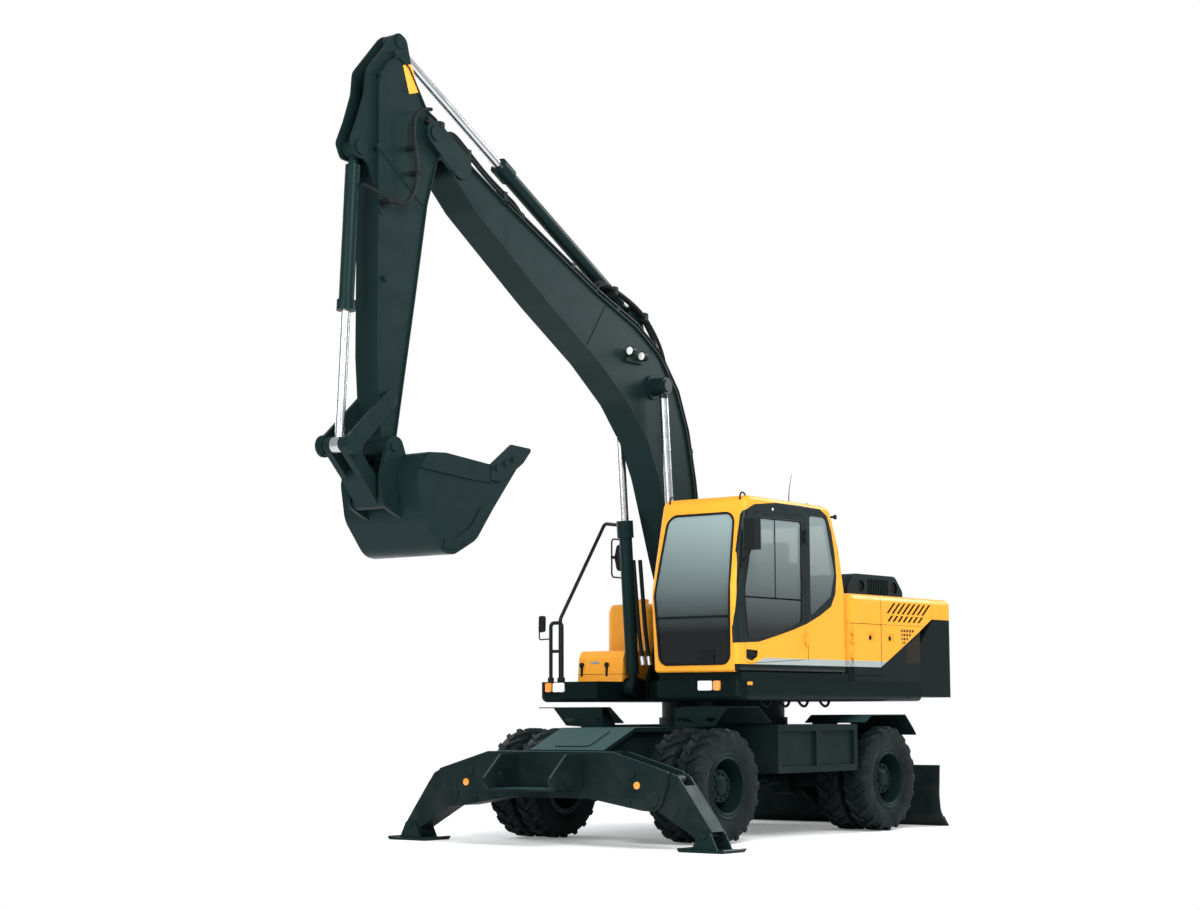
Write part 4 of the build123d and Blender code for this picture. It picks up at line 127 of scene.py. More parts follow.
class Recipe:
    """Short way to write one node material."""

    def __init__(self, name):
        self.material = bpy.data.materials.new(name)
        self.material.use_nodes = True
        self.tree = self.material.node_tree
        self.tree.nodes.clear()
        self.out = self.add("ShaderNodeOutputMaterial")
        self.shader = self.add("ShaderNodeBsdfPrincipled")
        self.link(self.shader.outputs[0], self.out.inputs["Surface"])
        self.place = self.add("ShaderNodeTexCoord").outputs["Object"]

    def add(self, kind, **settings):
        node = self.tree.nodes.new(kind)
        for key, value in settings.items():
            setattr(node, key, value)
        return node

    def link(self, a, b):
        self.tree.links.new(a, b)

    def feed(self, socket, value):
        if isinstance(value, bpy.types.NodeSocket):
            self.link(value, socket)
        elif value is not None:
            socket.default_value = value

    def math(self, operation, a, b=None, clamp=False):
        node = self.add("ShaderNodeMath", operation=operation, use_clamp=clamp)
        for socket, value in zip(node.inputs, (a, b)):
            self.feed(socket, value)
        return node.outputs[0]

    def noise(self, scale, detail, roughness=0.55):
        node = self.add("ShaderNodeTexNoise")
        self.link(self.place, node.inputs["Vector"])
        for name, value in (("Scale", scale), ("Detail", detail), ("Roughness", roughness)):
            node.inputs[name].default_value = value
        return node.outputs["Fac"]

    def span(self, value, low, high, to_low=0.0, to_high=1.0):
        node = self.add("ShaderNodeMapRange")
        for name, given in (("Value", value), ("From Min", low), ("From Max", high),
                            ("To Min", to_low), ("To Max", to_high)):
            self.feed(node.inputs[name], given)
        return node.outputs["Result"]

    def patches(self, scale, detail, low=0.0, high=1.0):
        """Soft uneven patches between two values."""
        return self.span(self.noise(scale, detail), 0.3, 0.7, low, high)

    def mix(self, share, a, b):
        node = self.add("ShaderNodeMix", data_type="RGBA")
        self.feed(node.inputs["Factor"], share)
        colours = [socket for socket in node.inputs if socket.type == "RGBA"]
        for socket, value in zip(colours, (a, b)):
            self.feed(socket, value if isinstance(value, bpy.types.NodeSocket) else (*value[:3], 1.0))
        return next(socket for socket in node.outputs if socket.type == "RGBA")

    def axis(self, name):
        """One coordinate in metres. "side" is the distance from the middle plane."""
        if name == "side":
            return self.math("ABSOLUTE", self.axis("Y"))
        node = self.add("ShaderNodeSeparateXYZ")
        self.link(self.place, node.inputs[0])
        return node.outputs[name]

    def waves(self, name, rate):
        """Fine ripple along an axis."""
        return self.math("SINE", self.math("MULTIPLY", self.axis(name), rate))

    # Masks are 1 inside and 0 outside
    def above(self, value, limit):
        return self.math("GREATER_THAN", value, limit)

    def below(self, value, limit):
        return self.math("LESS_THAN", value, limit)

    def past(self, name, limit):
        """Beyond a limit on an axis, in millimetres."""
        return self.above(self.axis(name), metres(name, limit))

    def short_of(self, name, limit):
        """Before a limit on an axis, in millimetres."""
        return self.below(self.axis(name), metres(name, limit))

    def block(self, **bands):
        """Inside every band given by its axis, such as Z=(low, high), in millimetres."""
        return self.every(*(mask for name, (low, high) in bands.items()
                            for mask in (self.past(name, low), self.short_of(name, high))))

    def fold(self, operation, masks):
        whole = masks[0]
        for mask in masks[1:]:
            whole = self.math(operation, whole, mask)
        return whole

    def every(self, *masks):
        return self.fold("MULTIPLY", masks)

    def either(self, *masks):
        return self.fold("MAXIMUM", masks)

    def inside(self, corners):
        """Inside a convex outline in the side view, corners (x, z) in millimetres from the swing axis,
        clockwise with the front on the right."""
        masks = []
        for (x, z), (next_x, next_z) in zip(corners, corners[1:] + corners[:1]):
            run = math.hypot(next_x - x, next_z - z)
            normal = (-(next_z - z) / run, 0.0, (next_x - x) / run)
            side = self.add("ShaderNodeVectorMath", operation="DOT_PRODUCT")
            self.link(self.place, side.inputs[0])
            side.inputs[1].default_value = normal
            corner = spot(x, 0, z)
            masks.append(self.below(side.outputs["Value"], normal[0] * corner.x + normal[2] * corner.z))
        return self.every(*masks)

    def grid(self, pitch_x, pitch_z, open_share, lean=0.0):
        """The holes of a perforated sheet seen from the side."""
        x = self.math("ADD", self.axis("X"), self.math("MULTIPLY", self.axis("Z"), lean))
        column = self.math("FRACT", self.math("DIVIDE", x, pitch_x))
        row = self.math("FRACT", self.math("DIVIDE", self.axis("Z"), pitch_z))
        return self.every(self.below(column, open_share), self.below(row, open_share))

    def set(self, **looks):
        for key, value in looks.items():
            self.feed(self.shader.inputs[key.replace("_", " ")], value)

    def finished(self, relief, strength, depth, **looks):
        """Sets the looks, lays a relief on them and hands back the material."""
        self.set(**looks)
        node = self.add("ShaderNodeBump")
        self.link(relief, node.inputs["Height"])
        node.inputs["Strength"].default_value = strength
        node.inputs["Distance"].default_value = depth
        self.link(node.outputs[0], self.shader.inputs["Normal"])
        return self.material


def scaled(colour, factor):
    return tuple(min(1.0, c * factor) for c in colour[:3])


def clouded(r, colour, depth=0.05):
    """Slightly uneven tone of one paint."""
    tone = r.mix(r.patches(*CLOUDS), scaled(colour, 1 - depth), scaled(colour, 1 + depth))
    return r.mix(r.span(r.noise(22.0, 5.0), 0.42, 0.75), tone, scaled(colour, 1 + depth))


DUST_COLOUR = (0.20, 0.185, 0.16)
DUST_TOP = 1.2                  # metres above the ground
TOP_SHEEN_GAIN = 8.0                # how much paler the painted sky sheen makes an upward-facing top than its paint


def sprayed_paint(name, colour, gloss=0.34, coat=0.02, shine=0.07, dust=0.0, top_sheen=0.0):
    """Sprayed machine paint: faint orange peel and cloudy tone, and if asked dust low down and a painted sky sheen
    that pales upward-facing tops.
    """
    r = Recipe(name)
    tone = clouded(r, colour)
    # Painted highlight: faces that look upward are paled towards a much lighter copy of the paint, as if they
    # mirrored the sky.
    if top_sheen:
        facing = r.add("ShaderNodeSeparateXYZ")
        r.link(r.add("ShaderNodeNewGeometry").outputs["True Normal"], facing.inputs[0])
        top = r.span(facing.outputs["Z"], 0.55, 1.0, 0.0, top_sheen)
        tone = r.mix(top, tone, scaled(colour, TOP_SHEEN_GAIN))
    rough = r.patches(*SMEARS, gloss - 0.05, gloss + 0.09)
    if dust:
        low = r.span(r.axis("Z"), 0.0, DUST_TOP, 1.0, 0.0)
        spread = r.span(r.noise(3.5, 6.0, 0.65), 0.38, 0.72, 0.0, dust)
        film = r.math("MULTIPLY", spread, low, clamp=True)
        tone = r.mix(film, tone, DUST_COLOUR)
        rough = r.math("ADD", rough, r.math("MULTIPLY", film, 0.45), clamp=True)
    return r.finished(r.noise(*PEEL), 0.06, 0.0006, Base_Color=tone, Roughness=rough,
                      Specular_IOR_Level=shine, Specular_Tint=(0.55, 0.95, 0.95, 1),
                      Coat_Weight=coat, Coat_Roughness=0.12)


# ---------------------------------------------------------------- shared mesh helpers
AHEAD = Vector((1, 0, 0))
LEFT = Vector((0, 1, 0))
UP = Vector((0, 0, 1))
FINISH = {}


def piece(name, mesh_data, body, finish, smooth=40.0):
    """Turns a bmesh into an object in one of the finishes, riding on a body if one is given."""
    bmesh.ops.recalc_face_normals(mesh_data, faces=mesh_data.faces)
    mesh = bpy.data.meshes.new(name)
    mesh_data.to_mesh(mesh)
    mesh_data.free()
    obj = bpy.data.objects.new(name, mesh)
    bpy.context.scene.collection.objects.link(obj)
    mesh.materials.append(FINISH[finish])
    if smooth:
        mesh.shade_smooth()
        mesh.set_sharp_from_angle(angle=math.radians(smooth))
    if body:
        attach(obj, body)
    return obj


def rounded(rows, steps=7):
    """Closed outline with its corners rounded, from rows of (across, up, radius)."""
    points = []
    for index, (a, b, radius) in enumerate(rows):
        here = Vector((a, b))
        back = (Vector(rows[index - 1][:2]) - here).normalized()
        ahead = (Vector(rows[(index + 1) % len(rows)][:2]) - here).normalized()
        half = math.acos(max(-1.0, min(1.0, back.dot(ahead)))) / 2
        if not radius:
            points.append(here)
            continue
        start = here + back * radius / math.tan(half)
        end = here + ahead * radius / math.tan(half)
        centre = here + (back + ahead).normalized() * radius / math.sin(half)
        for step in range(steps + 1):
            share = step / steps
            way = (start - centre) * (1 - share) + (end - centre) * share
            points.append(centre + way.normalized() * radius)
    return points


def circle(centre, side, up, radius, count):
    """Points round a circle that two directions span."""
    return [centre + (side * math.cos(t) + up * math.sin(t)) * radius
            for t in (2 * math.pi * k / count for k in range(count))]


def square_to(axis):
    """Two directions square to an axis and to each other."""
    side = axis.orthogonal().normalized()
    return side, axis.cross(side)


def bridge(mesh_data, rings, loop=False, ends=False):
    """Faces between rings of vertices, where a ring may be one point. A loop joins the last to the first."""
    for one, two in zip(rings, rings[1:] + rings[:1] if loop else rings[1:]):
        count = max(len(one), len(two))
        for k in range(count):
            after = (k + 1) % count
            if len(one) == 1:
                mesh_data.faces.new((one[0], two[after], two[k]))
            elif len(two) == 1:
                mesh_data.faces.new((one[k], one[after], two[0]))
            else:
                mesh_data.faces.new((one[k], one[after], two[after], two[k]))
    if ends:
        mesh_data.faces.new(list(reversed(rings[0])))
        mesh_data.faces.new(rings[-1])


def tube_mesh(mesh_data, points, radius, sides=10, closed=False, taper=None):
    """Round tube through points, in metres, added to a mesh."""
    last = len(points) - 1
    rings = []
    side = None
    for index, point in enumerate(points):
        back = points[index - 1] if index or closed else point
        ahead = points[(index + 1) % len(points)] if index < last or closed else point
        run = (ahead - back).normalized()
        if side is None:
            side = run.orthogonal().normalized()
        side = (side - run * side.dot(run)).normalized()
        reach = taper[index] if taper else radius
        rings.append([mesh_data.verts.new(place)
                      for place in circle(point, side, run.cross(side), reach, sides)])
    bridge(mesh_data, rings, loop=closed, ends=not closed)


def smooth_run(points):
    """Points along a soft curve that starts and ends where the given points do."""
    data = bpy.data.curves.new("run", "CURVE")
    data.dimensions = "3D"
    data.resolution_u = 8
    spline = data.splines.new("NURBS")
    spline.points.add(len(points) - 1)
    for point, place in zip(spline.points, points):
        point.co = (*place, 1.0)
    spline.order_u = 3
    spline.use_endpoint_u = True
    holder = bpy.data.objects.new("run", data)
    line = bpy.data.meshes.new_from_object(holder)
    places = [vertex.co.copy() for vertex in line.vertices]
    bpy.data.objects.remove(holder)
    bpy.data.curves.remove(data)
    bpy.data.meshes.remove(line)
    return places


def turned_mesh(mesh_data, profile, centre, axis, segments=48, loop=False):
    """Turned form about an axis, from (along, radius) rows in metres.

    A radius of 0 closes an end, and a loop joins the last row to the first."""
    side, up = square_to(axis)
    rings = []
    for along, radius in profile:
        middle = centre + axis * along
        places = circle(middle, side, up, radius, segments) if radius else [middle]
        rings.append([mesh_data.verts.new(place) for place in places])
    bridge(mesh_data, rings, loop)


def soft_block(mesh_data, low, high, edge=0.004):
    """Block with rounded edges between two corners, in metres."""
    size = high - low
    made = bmesh.ops.create_cube(mesh_data, size=1.0)["verts"]
    for vertex in made:
        vertex.co = low + Vector([(share + 0.5) * length for share, length in zip(vertex.co, size)])
    edges = list({e for v in made for e in v.link_edges})
    bmesh.ops.bevel(mesh_data, geom=edges, offset=min(edge, min(size) * 0.45), segments=2, affect="EDGES")


def outline_plate(mesh_data, corners, plane_y, depth):
    """Flat plate seen from the side, in millimetres from the swing axis, with a small depth along Y."""
    faces = [[mesh_data.verts.new(spot(x, y, z)) for x, z in corners] for y in (plane_y, plane_y + depth)]
    bridge(mesh_data, faces, ends=True)


def turned_piece(name, profile, places, axis, segments, body, finish):
    """One piece of like turned forms."""
    mesh_data = bmesh.new()
    for place in places:
        turned_mesh(mesh_data, profile, place, axis, segments)
    piece(name, mesh_data, body, finish)


def tube_piece(name, runs, radius, sides, body, finish):
    """One piece of like tubes."""
    mesh_data = bmesh.new()
    for run in runs:
        tube_mesh(mesh_data, run, radius, sides)
    return piece(name, mesh_data, body, finish)


# ---------------------------------------------------------------- bolts, by geometry nodes
# Corners, and radius, height and lift as shares of the width across flats
BOLT_HEAD = (6, 0.58, 0.42, 0.36)
WASHER = (20, 0.82, 0.15, 0.075)


def bolt_tree():
    """Hexagon heads on washers at every vertex, square to the vertex's own direction."""
    tree = bpy.data.node_groups.new("bolt heads", "GeometryNodeTree")
    for name, way, kind in (("Geometry", "INPUT", "Geometry"), ("Across flats", "INPUT", "Float"),
                            ("Finish", "INPUT", "Material"), ("Geometry", "OUTPUT", "Geometry")):
        tree.interface.new_socket(name, in_out=way, socket_type=f"NodeSocket{kind}")

    def add(kind, *feeds, **settings):
        """Adds a node with its settings and its fed inputs."""
        node = tree.nodes.new(kind)
        for key, value in settings.items():
            setattr(node, key, value)
        for name, value in feeds:
            if isinstance(value, bpy.types.NodeSocket):
                tree.links.new(value, node.inputs[name])
            else:
                node.inputs[name].default_value = value
        return node

    enter = add("NodeGroupInput")
    facing = add("GeometryNodeInputNamedAttribute", ("Name", "facing"), data_type="FLOAT_VECTOR")
    aim = add("FunctionNodeAlignRotationToVector", ("Vector", facing.outputs["Attribute"]), axis="Z")
    joined = add("GeometryNodeJoinGeometry")
    across = enter.outputs["Across flats"]
    for sides, *shares in (BOLT_HEAD, WASHER):
        sizes = (add("ShaderNodeMath", (0, across), (1, share), operation="MULTIPLY") for share in shares)
        radius, height, lift = (size.outputs[0] for size in sizes)
        head = add("GeometryNodeMeshCylinder", ("Vertices", sides), ("Radius", radius), ("Depth", height))
        offset = add("ShaderNodeCombineXYZ", ("Z", lift))
        moved = add("GeometryNodeTransform", ("Geometry", head.outputs["Mesh"]),
                    ("Translation", offset.outputs[0]))
        tree.links.new(moved.outputs[0], joined.inputs[0])
    place = add("GeometryNodeInstanceOnPoints", ("Points", enter.outputs["Geometry"]),
                ("Instance", joined.outputs[0]), ("Rotation", aim.outputs[0]))
    real = add("GeometryNodeRealizeInstances", (0, place.outputs[0]))
    paint = add("GeometryNodeSetMaterial", ("Geometry", real.outputs[0]),
                ("Material", enter.outputs["Finish"]))
    add("NodeGroupOutput", (0, paint.outputs[0]))
    return tree


def bolt_heads(name, rows, across, body, finish):
    """One mesh of bolt heads for a body, from rows of (place, direction)."""
    tree = bpy.data.node_groups.get("bolt heads") or bolt_tree()
    inputs = {item.name: item.identifier for item in tree.interface.items_tree if item.in_out == "INPUT"}
    mesh = bpy.data.meshes.new(name)
    mesh.from_pydata([tuple(place) for place, _ in rows], [], [])
    facing = mesh.attributes.new("facing", "FLOAT_VECTOR", "POINT")
    for row, (_, direction) in zip(facing.data, rows):
        row.vector = direction
    seed = bpy.data.objects.new(f"{name} seed", mesh)
    bpy.context.scene.collection.objects.link(seed)
    modifier = seed.modifiers.new("bolts", "NODES")
    modifier.node_group = tree
    modifier[inputs["Across flats"]] = across
    modifier[inputs["Finish"]] = FINISH[finish]
    solid = bpy.data.meshes.new_from_object(seed.evaluated_get(bpy.context.evaluated_depsgraph_get()))
    bpy.data.objects.remove(seed)
    obj = bpy.data.objects.new(name, solid)
    solid.materials.clear()
    solid.materials.append(FINISH[finish])
    bpy.context.scene.collection.objects.link(obj)
    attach(obj, body)


def ring_of_bolts(centre, axis, radius, count):
    """Rows of (place, direction) round a circle."""
    side, up = square_to(axis)
    return [(place, axis) for place in circle(centre, side, up, radius, count)]


# ---------------------------------------------------------------- finishes of the solid parts
class EXCAVATOR_OT_cad_finishes(bpy.types.Operator):
    """Give every carried-over node its own finish"""
    bl_idname = "excavator.cad_finishes"
    bl_label = "Finish the solid parts"

    def execute(self, context):
        look = context.scene.excavator_paint
        dark, panel, stripe = look.frame_colour, look.panel_colour, look.stripe_colour
        sill = scaled(dark, 0.50)
        FINISH.update(
            frame=sprayed_paint("frame paint", dark),
            # The running gear takes a darker copy of the frame paint: the darkening is painted shade for the low
            # gear under the machine, and real dust and the painted top sheen lie over it.
            gear=sprayed_paint("running gear paint", scaled(dark, 0.72), gloss=0.42, shine=0.06,
                               dust=0.35 * look.dust, top_sheen=0.85),
            panel=sprayed_paint("panel paint", panel, gloss=0.30, coat=0.12, shine=0.3),
            black=sprayed_paint("black paint", (0.010, 0.012, 0.012), gloss=0.38),
            rod=plated_steel("hard chrome", eye_paint=dark),
            zinc=plated_steel("zinc plate", 0.42),
            cloth=woven_cloth("cushion cloth"),
            rubber=tyre_rubber("moulded rubber"),
            amber=lens("amber lens", (0.95, 0.30, 0.02)),
            clear=lens("clear lens", (0.86, 0.86, 0.82)),
            gasket=sprayed_paint("gasket rubber", (0.008, 0.009, 0.009), gloss=0.55, coat=0.0),
            hose=sprayed_paint("hose rubber", (0.010, 0.011, 0.011), gloss=0.5, coat=0.0))
        by_slot = {"frame_paint": FINISH["frame"], "engine_iron": FINISH["frame"],
                   "panel_yellow": FINISH["panel"], "rod_chrome": FINISH["rod"],
                   "rail_black": FINISH["black"], "tyre_rubber": FINISH["rubber"],
                   "tinted_glass": tinted_glass("tinted glass"), "seat_cloth": woven_cloth("seat cloth"),
                   "lamp_lens": deck_lamps("deck lamps")}
        for subpart in frame["record"]["subparts"]:
            paint_nodes(by_slot[subpart["material_slot"]], subpart["node"])
        # Near-black steel in place of chrome on these rods: painted shade for rods that sit in shadow inside the
        # legs and under the machine.
        paint_nodes(plated_steel("rods darkened as painted shade", 0.5, (0.018, 0.027, 0.027)),
                    "outrigger_rod_left", "outrigger_rod_right", "blade_cylinder_rods")
        paint_nodes(FINISH["gear"], "chassis", "outrigger_beam", "outrigger_leg_left", "outrigger_leg_right",
                    "axles", "driveline", "mudguards", "side_boxes", "blade")
        paint_nodes(sprayed_paint("deck paint", sill, gloss=0.36, shine=0.05), "slew_frame", "slew_ring")
        paint_nodes(side_panels("side panels", (panel, sill, stripe)),
                    "body_panels", "side_door_left", "side_door_right")
        paint_nodes(cab_sides("cab sides", (panel, sill, stripe)), "cab_shell", "cab_door")
        paint_nodes(capped_tail("tail", sill, panel), "counterweight")
        paint_nodes(grilled_hood("hood", dark), "engine_hood")
        paint_nodes(boxed_paint("toolbox paint", panel), "toolbox", "toolbox_lid")
        return {"FINISHED"}


def paint_nodes(material, *names):
    for name in names:
        data = NODES[name].data
        data.materials.clear()
        data.materials.append(material)


# Edges that the side finishes follow, in millimetres: X from the swing axis, Z up from the ground and
# Y, or side, out from the middle plane
STRIPE_LOW = 1648.0
STRIPE_HIGH = 1710.0
SWEEP = ((-1053.0, 1648.0), (-2112.0, 2159.0))
PANEL_FACE = 1150.0             # the faces of the side panels lie outside this
UPRIGHT_SEAM = {"X": (-1073.0, -1064.0)}
UPRIGHT_FOOT = 1600.0
LEVEL_SEAM = {"X": (-1900.0, -470.0), "Z": (2081.5, 2085.5)}
GRILLE = [(-1463, 2045), (-1478, 1862), (-1750, 2045)]
PERFORATED = [(-1560, 1700), (-2085, 1700), (-2085, 2110), (-1580, 1865)]
RECESS = {"side": (1195.0, 1228.5), "Z": (2112.0, 2307.0)}
RECESS_FRONT = -1150.0
CAB_FACE = 1190.0
FIELD_FACE = 1178.0
STRIPE_END = 1254.0             # where the stripe meets the raked nose of the cab
NOSE_RAKE = 2.9
DOOR_HANDLE = {"X": (1160.0, 1390.0), "Y": (1200.0, 1226.5), "Z": (1660.0, 1800.0)}
DOOR_SLOT = {"X": (302.0, 311.0), "Z": (1700.0, 1970.0)}
FRONT_FRAME = {"Y": (275.0, 1200.0)}
CAB_FIELD = [(1528, 1842), (1163, 1858), (810, 1931), (569, 1986), (323, 2051), (72, 2143), (-120, 2234),
             (-204, 2365), (-225, 2537), (-199, 2758), (-142, 2978), (-67, 3127), (58, 3187), (416, 3197),
             (840, 3197), (1222, 3156), (1368, 3088), (1429, 2882), (1475, 2637), (1515, 2394), (1535, 2073)]
CAB_INNER = [(1466, 1605), (-350, 1605), (-350, 3175), (1290, 3175), (1450, 2700), (1496, 2330)]
CAP_JOINT = (2160.0, 2166.0)
LID_JOINT = (1578.0, 1583.0)
HOOD_GRILLE = {"side": (860.0, 878.0), "Z": (2410.0, 2600.0)}
# Black of the cab's painted field and of dark joints, also used as painted shade in the body panels' louvres and
# recess
BLACK_PAINT_AND_SHADE = (0.008, 0.014, 0.014)
# Dark brown painted shade seen through the holes of the perforated sheet
PERFORATION_SHADE_BROWN = (0.040, 0.024, 0.015)


def two_coats(r, coats, sill_mask, stripe_mask, marks):
    """Panel colour with a dark sill and a pale stripe, then marks of (mask, colour) on top."""
    panel, sill, stripe = (clouded(r, coat) for coat in coats)
    tone = r.mix(stripe_mask, r.mix(sill_mask, panel, sill), stripe)
    for mask, colour in marks:
        tone = r.mix(mask, tone, colour)
    return r.finished(r.noise(*PEEL), 0.05, 0.0006, Base_Color=tone, Roughness=r.patches(*SMEARS, 0.25, 0.38),
                      Specular_IOR_Level=0.10, Coat_Weight=0.02, Coat_Roughness=0.10)


def side_panels(name, coats):
    """Body panels: yellow over a dark sill, with a pale stripe and dark seams, and painted shade in the louvres,
    the recess and the holes of the perforated sheet.
    """
    r = Recipe(name)
    x, z = r.axis("X"), r.axis("Z")
    on_side = r.past("side", PANEL_FACE)
    (x_low, z_low), (x_high, z_high) = SWEEP
    rise = (z_high - z_low) / (x_high - x_low)
    start = spot(x_low, 0, z_low)
    swept = r.math("SUBTRACT", z, r.math("MULTIPLY", r.math("SUBTRACT", x, start.x), rise))
    behind = r.every(r.below(x, start.x), r.below(swept, start.z))
    sill_mask = r.every(on_side, r.either(r.short_of("Z", STRIPE_LOW), behind))
    over = r.math("SUBTRACT", 1.0, sill_mask)
    stripe_mask = r.every(on_side, over, r.short_of("Z", STRIPE_HIGH))
    seams = r.either(r.every(r.block(**UPRIGHT_SEAM), r.past("Z", UPRIGHT_FOOT)), r.block(**LEVEL_SEAM))
    # Painted shade: the louvre openings in the triangle are painted black
    grille = r.every(r.inside(GRILLE), r.grid(0.058, 0.042, 0.66), on_side)
    # Painted shade: the holes of the perforated sheet are painted dark brown
    sheet = r.every(r.inside(PERFORATED), behind, r.grid(0.016, 0.016, 0.6, 0.5), on_side)
    # Painted shade: the sunk recess is painted black
    shaded_recess = r.every(r.block(**RECESS), r.short_of("X", RECESS_FRONT))
    # Dark seams are real joints; the louvres and the recess joined with them are painted shade
    holes = r.either(r.every(seams, on_side, over), grille, shaded_recess)
    return two_coats(r, coats, sill_mask, stripe_mask, [(holes, BLACK_PAINT_AND_SHADE), (sheet, PERFORATION_SHADE_BROWN)])


def cab_sides(name, coats):
    """Cab: yellow shell with a black field round the side glass, over the same sill and stripe."""
    r = Recipe(name)
    on_side = r.past("Y", CAB_FACE)
    nose = r.math("ADD", r.axis("X"), r.math("MULTIPLY", r.axis("Z"), NOSE_RAKE))
    limit = spot(STRIPE_END, 0, 0).x + STRIPE_LOW / 1000 * NOSE_RAKE
    stripe_mask = r.every(on_side, r.block(Z=(STRIPE_LOW, STRIPE_HIGH)), r.below(nose, limit))
    field = r.every(r.past("Y", FIELD_FACE), r.inside(CAB_FIELD))
    inner = r.every(r.block(**FRONT_FRAME), r.inside(CAB_INNER))
    black = r.either(field, r.block(**DOOR_HANDLE), inner, r.every(on_side, r.block(**DOOR_SLOT)))
    return two_coats(r, coats, r.every(on_side, r.short_of("Z", STRIPE_LOW)), stripe_mask,
                     [(black, BLACK_PAINT_AND_SHADE)])


def capped_tail(name, dark, colour):
    """Counterweight: dark casting under a yellow cap, parted by a dark joint."""
    r = Recipe(name)
    tone = r.mix(r.past("Z", CAP_JOINT[1]), clouded(r, dark), clouded(r, colour))
    tone = r.mix(r.block(Z=CAP_JOINT), tone, (0.006, 0.007, 0.007))
    return r.finished(r.noise(34.0, 5.0), 0.10, 0.0015, Base_Color=tone,
                      Roughness=r.patches(*SMEARS, 0.30, 0.42), Specular_IOR_Level=0.07,
                      Coat_Weight=0.0, Coat_Roughness=0.12)


def grilled_hood(name, dark):
    """Hood: dark paint, with painted shade, near black, inside its grille."""
    r = Recipe(name)
    # Painted shade: the grille's band is painted near black.
    tone = r.mix(r.block(**HOOD_GRILLE), clouded(r, scaled(dark, 1.15)), (0.004, 0.005, 0.005))
    return r.finished(r.noise(*PEEL), 0.05, 0.0006, Base_Color=tone, Roughness=0.36,
                      Specular_IOR_Level=0.10, Coat_Weight=0.0)


def boxed_paint(name, colour):
    """Yellow toolbox with the dark joint of its lid."""
    r = Recipe(name)
    tone = r.mix(r.block(Z=LID_JOINT), clouded(r, colour), (0.02, 0.012, 0.004))
    return r.finished(r.noise(*PEEL), 0.05, 0.0006, Base_Color=tone, Roughness=0.32,
                      Specular_IOR_Level=0.25, Coat_Weight=0.06, Coat_Roughness=0.12)


LENS_RIBS = ("Y", 900.0)
AMBER_LEFT, AMBER_RIGHT = 900.0, -1050.0


def lens(name, colour):
    """Moulded lens with fine ribs, with painted shade in stripes that follow them."""
    r = Recipe(name)
    ribs = r.waves(*LENS_RIBS)
    # Painted shade: the colour darkens in stripes that follow the ribs.
    tone = r.mix(r.span(ribs, -1.0, 1.0), scaled(colour, 0.8), colour)
    return r.finished(ribs, 0.25, 0.002, Base_Color=tone, Roughness=0.12,
                      Coat_Weight=0.6, Coat_Roughness=0.04)


def deck_lamps(name):
    """Two white and two amber lenses."""
    r = Recipe(name)
    amber = r.either(r.past("Y", AMBER_LEFT), r.short_of("Y", AMBER_RIGHT))
    return r.finished(r.waves(*LENS_RIBS), 0.3, 0.002,
                      Base_Color=r.mix(amber, (0.80, 0.80, 0.76), (0.95, 0.28, 0.02)),
                      Roughness=0.12, Coat_Weight=0.6, Coat_Roughness=0.04)


YARNS_PER_METRE = 1400.0
DARK_YARN = (0.018, 0.019, 0.020)
PALE_YARN = (0.050, 0.052, 0.054)


def woven_cloth(name):
    """Close weave of two dark yarns."""
    r = Recipe(name)
    weave = r.math("MULTIPLY", r.waves("Z", YARNS_PER_METRE), r.waves("X", YARNS_PER_METRE))
    return r.finished(weave, 0.4, 0.001, Base_Color=r.mix(r.span(weave, -1.0, 1.0), DARK_YARN, PALE_YARN),
                      Roughness=0.85)


ROD_EYES = ((1205.0, 4385.0), (4785.0, 7040.0), (4992.0, 2997.0))
EYE_REACH = 0.125


def plated_steel(name, roughness=0.27, colour=(0.56, 0.58, 0.59), eye_paint=None):
    """Bright plated steel, with the eyes at the rods' far ends painted if a paint is given."""
    r = Recipe(name)
    streak = r.noise(9.0, 4.0)
    tone = r.mix(r.span(streak, 0.3, 0.7), scaled(colour, 0.92), colour)
    metal = 1.0
    if eye_paint is not None:
        masks = []
        for x, z in ROD_EYES:
            place = spot(x, 0, z)
            across = r.math("SUBTRACT", r.axis("X"), place.x)
            up = r.math("SUBTRACT", r.axis("Z"), place.z)
            reach = r.math("ADD", r.math("MULTIPLY", across, across), r.math("MULTIPLY", up, up))
            masks.append(r.below(reach, EYE_REACH ** 2))
        eye = r.either(*masks)
        tone = r.mix(eye, tone, eye_paint)
        metal = r.math("SUBTRACT", 1.0, eye)
    return r.finished(r.noise(260.0, 2.0), 0.03, 0.0004, Base_Color=tone, Metallic=metal,
                      Roughness=r.span(streak, 0.3, 0.7, roughness - 0.05, roughness + 0.05),
                      Specular_IOR_Level=0.2)


FRESH_RUBBER = (0.0030, 0.0052, 0.0052)
DUSTY_RUBBER = (0.0105, 0.0172, 0.0170)


def tyre_rubber(name):
    """Near-black rubber with a paler dusty cast in patches."""
    r = Recipe(name)
    tone = r.mix(r.span(r.noise(5.0, 6.0, 0.65), 0.35, 0.75), FRESH_RUBBER, DUSTY_RUBBER)
    return r.finished(r.noise(95.0, 4.0), 0.18, 0.002, Base_Color=tone,
                      Roughness=r.patches(11.0, 4.0, 0.50, 0.72), Specular_IOR_Level=0.10)


SIDE_GLASS_FACE = 1180.0
SCREEN_FACE = 1290.0
GLASS_HEIGHTS = (1.95, 3.15)    # metres, sill and top


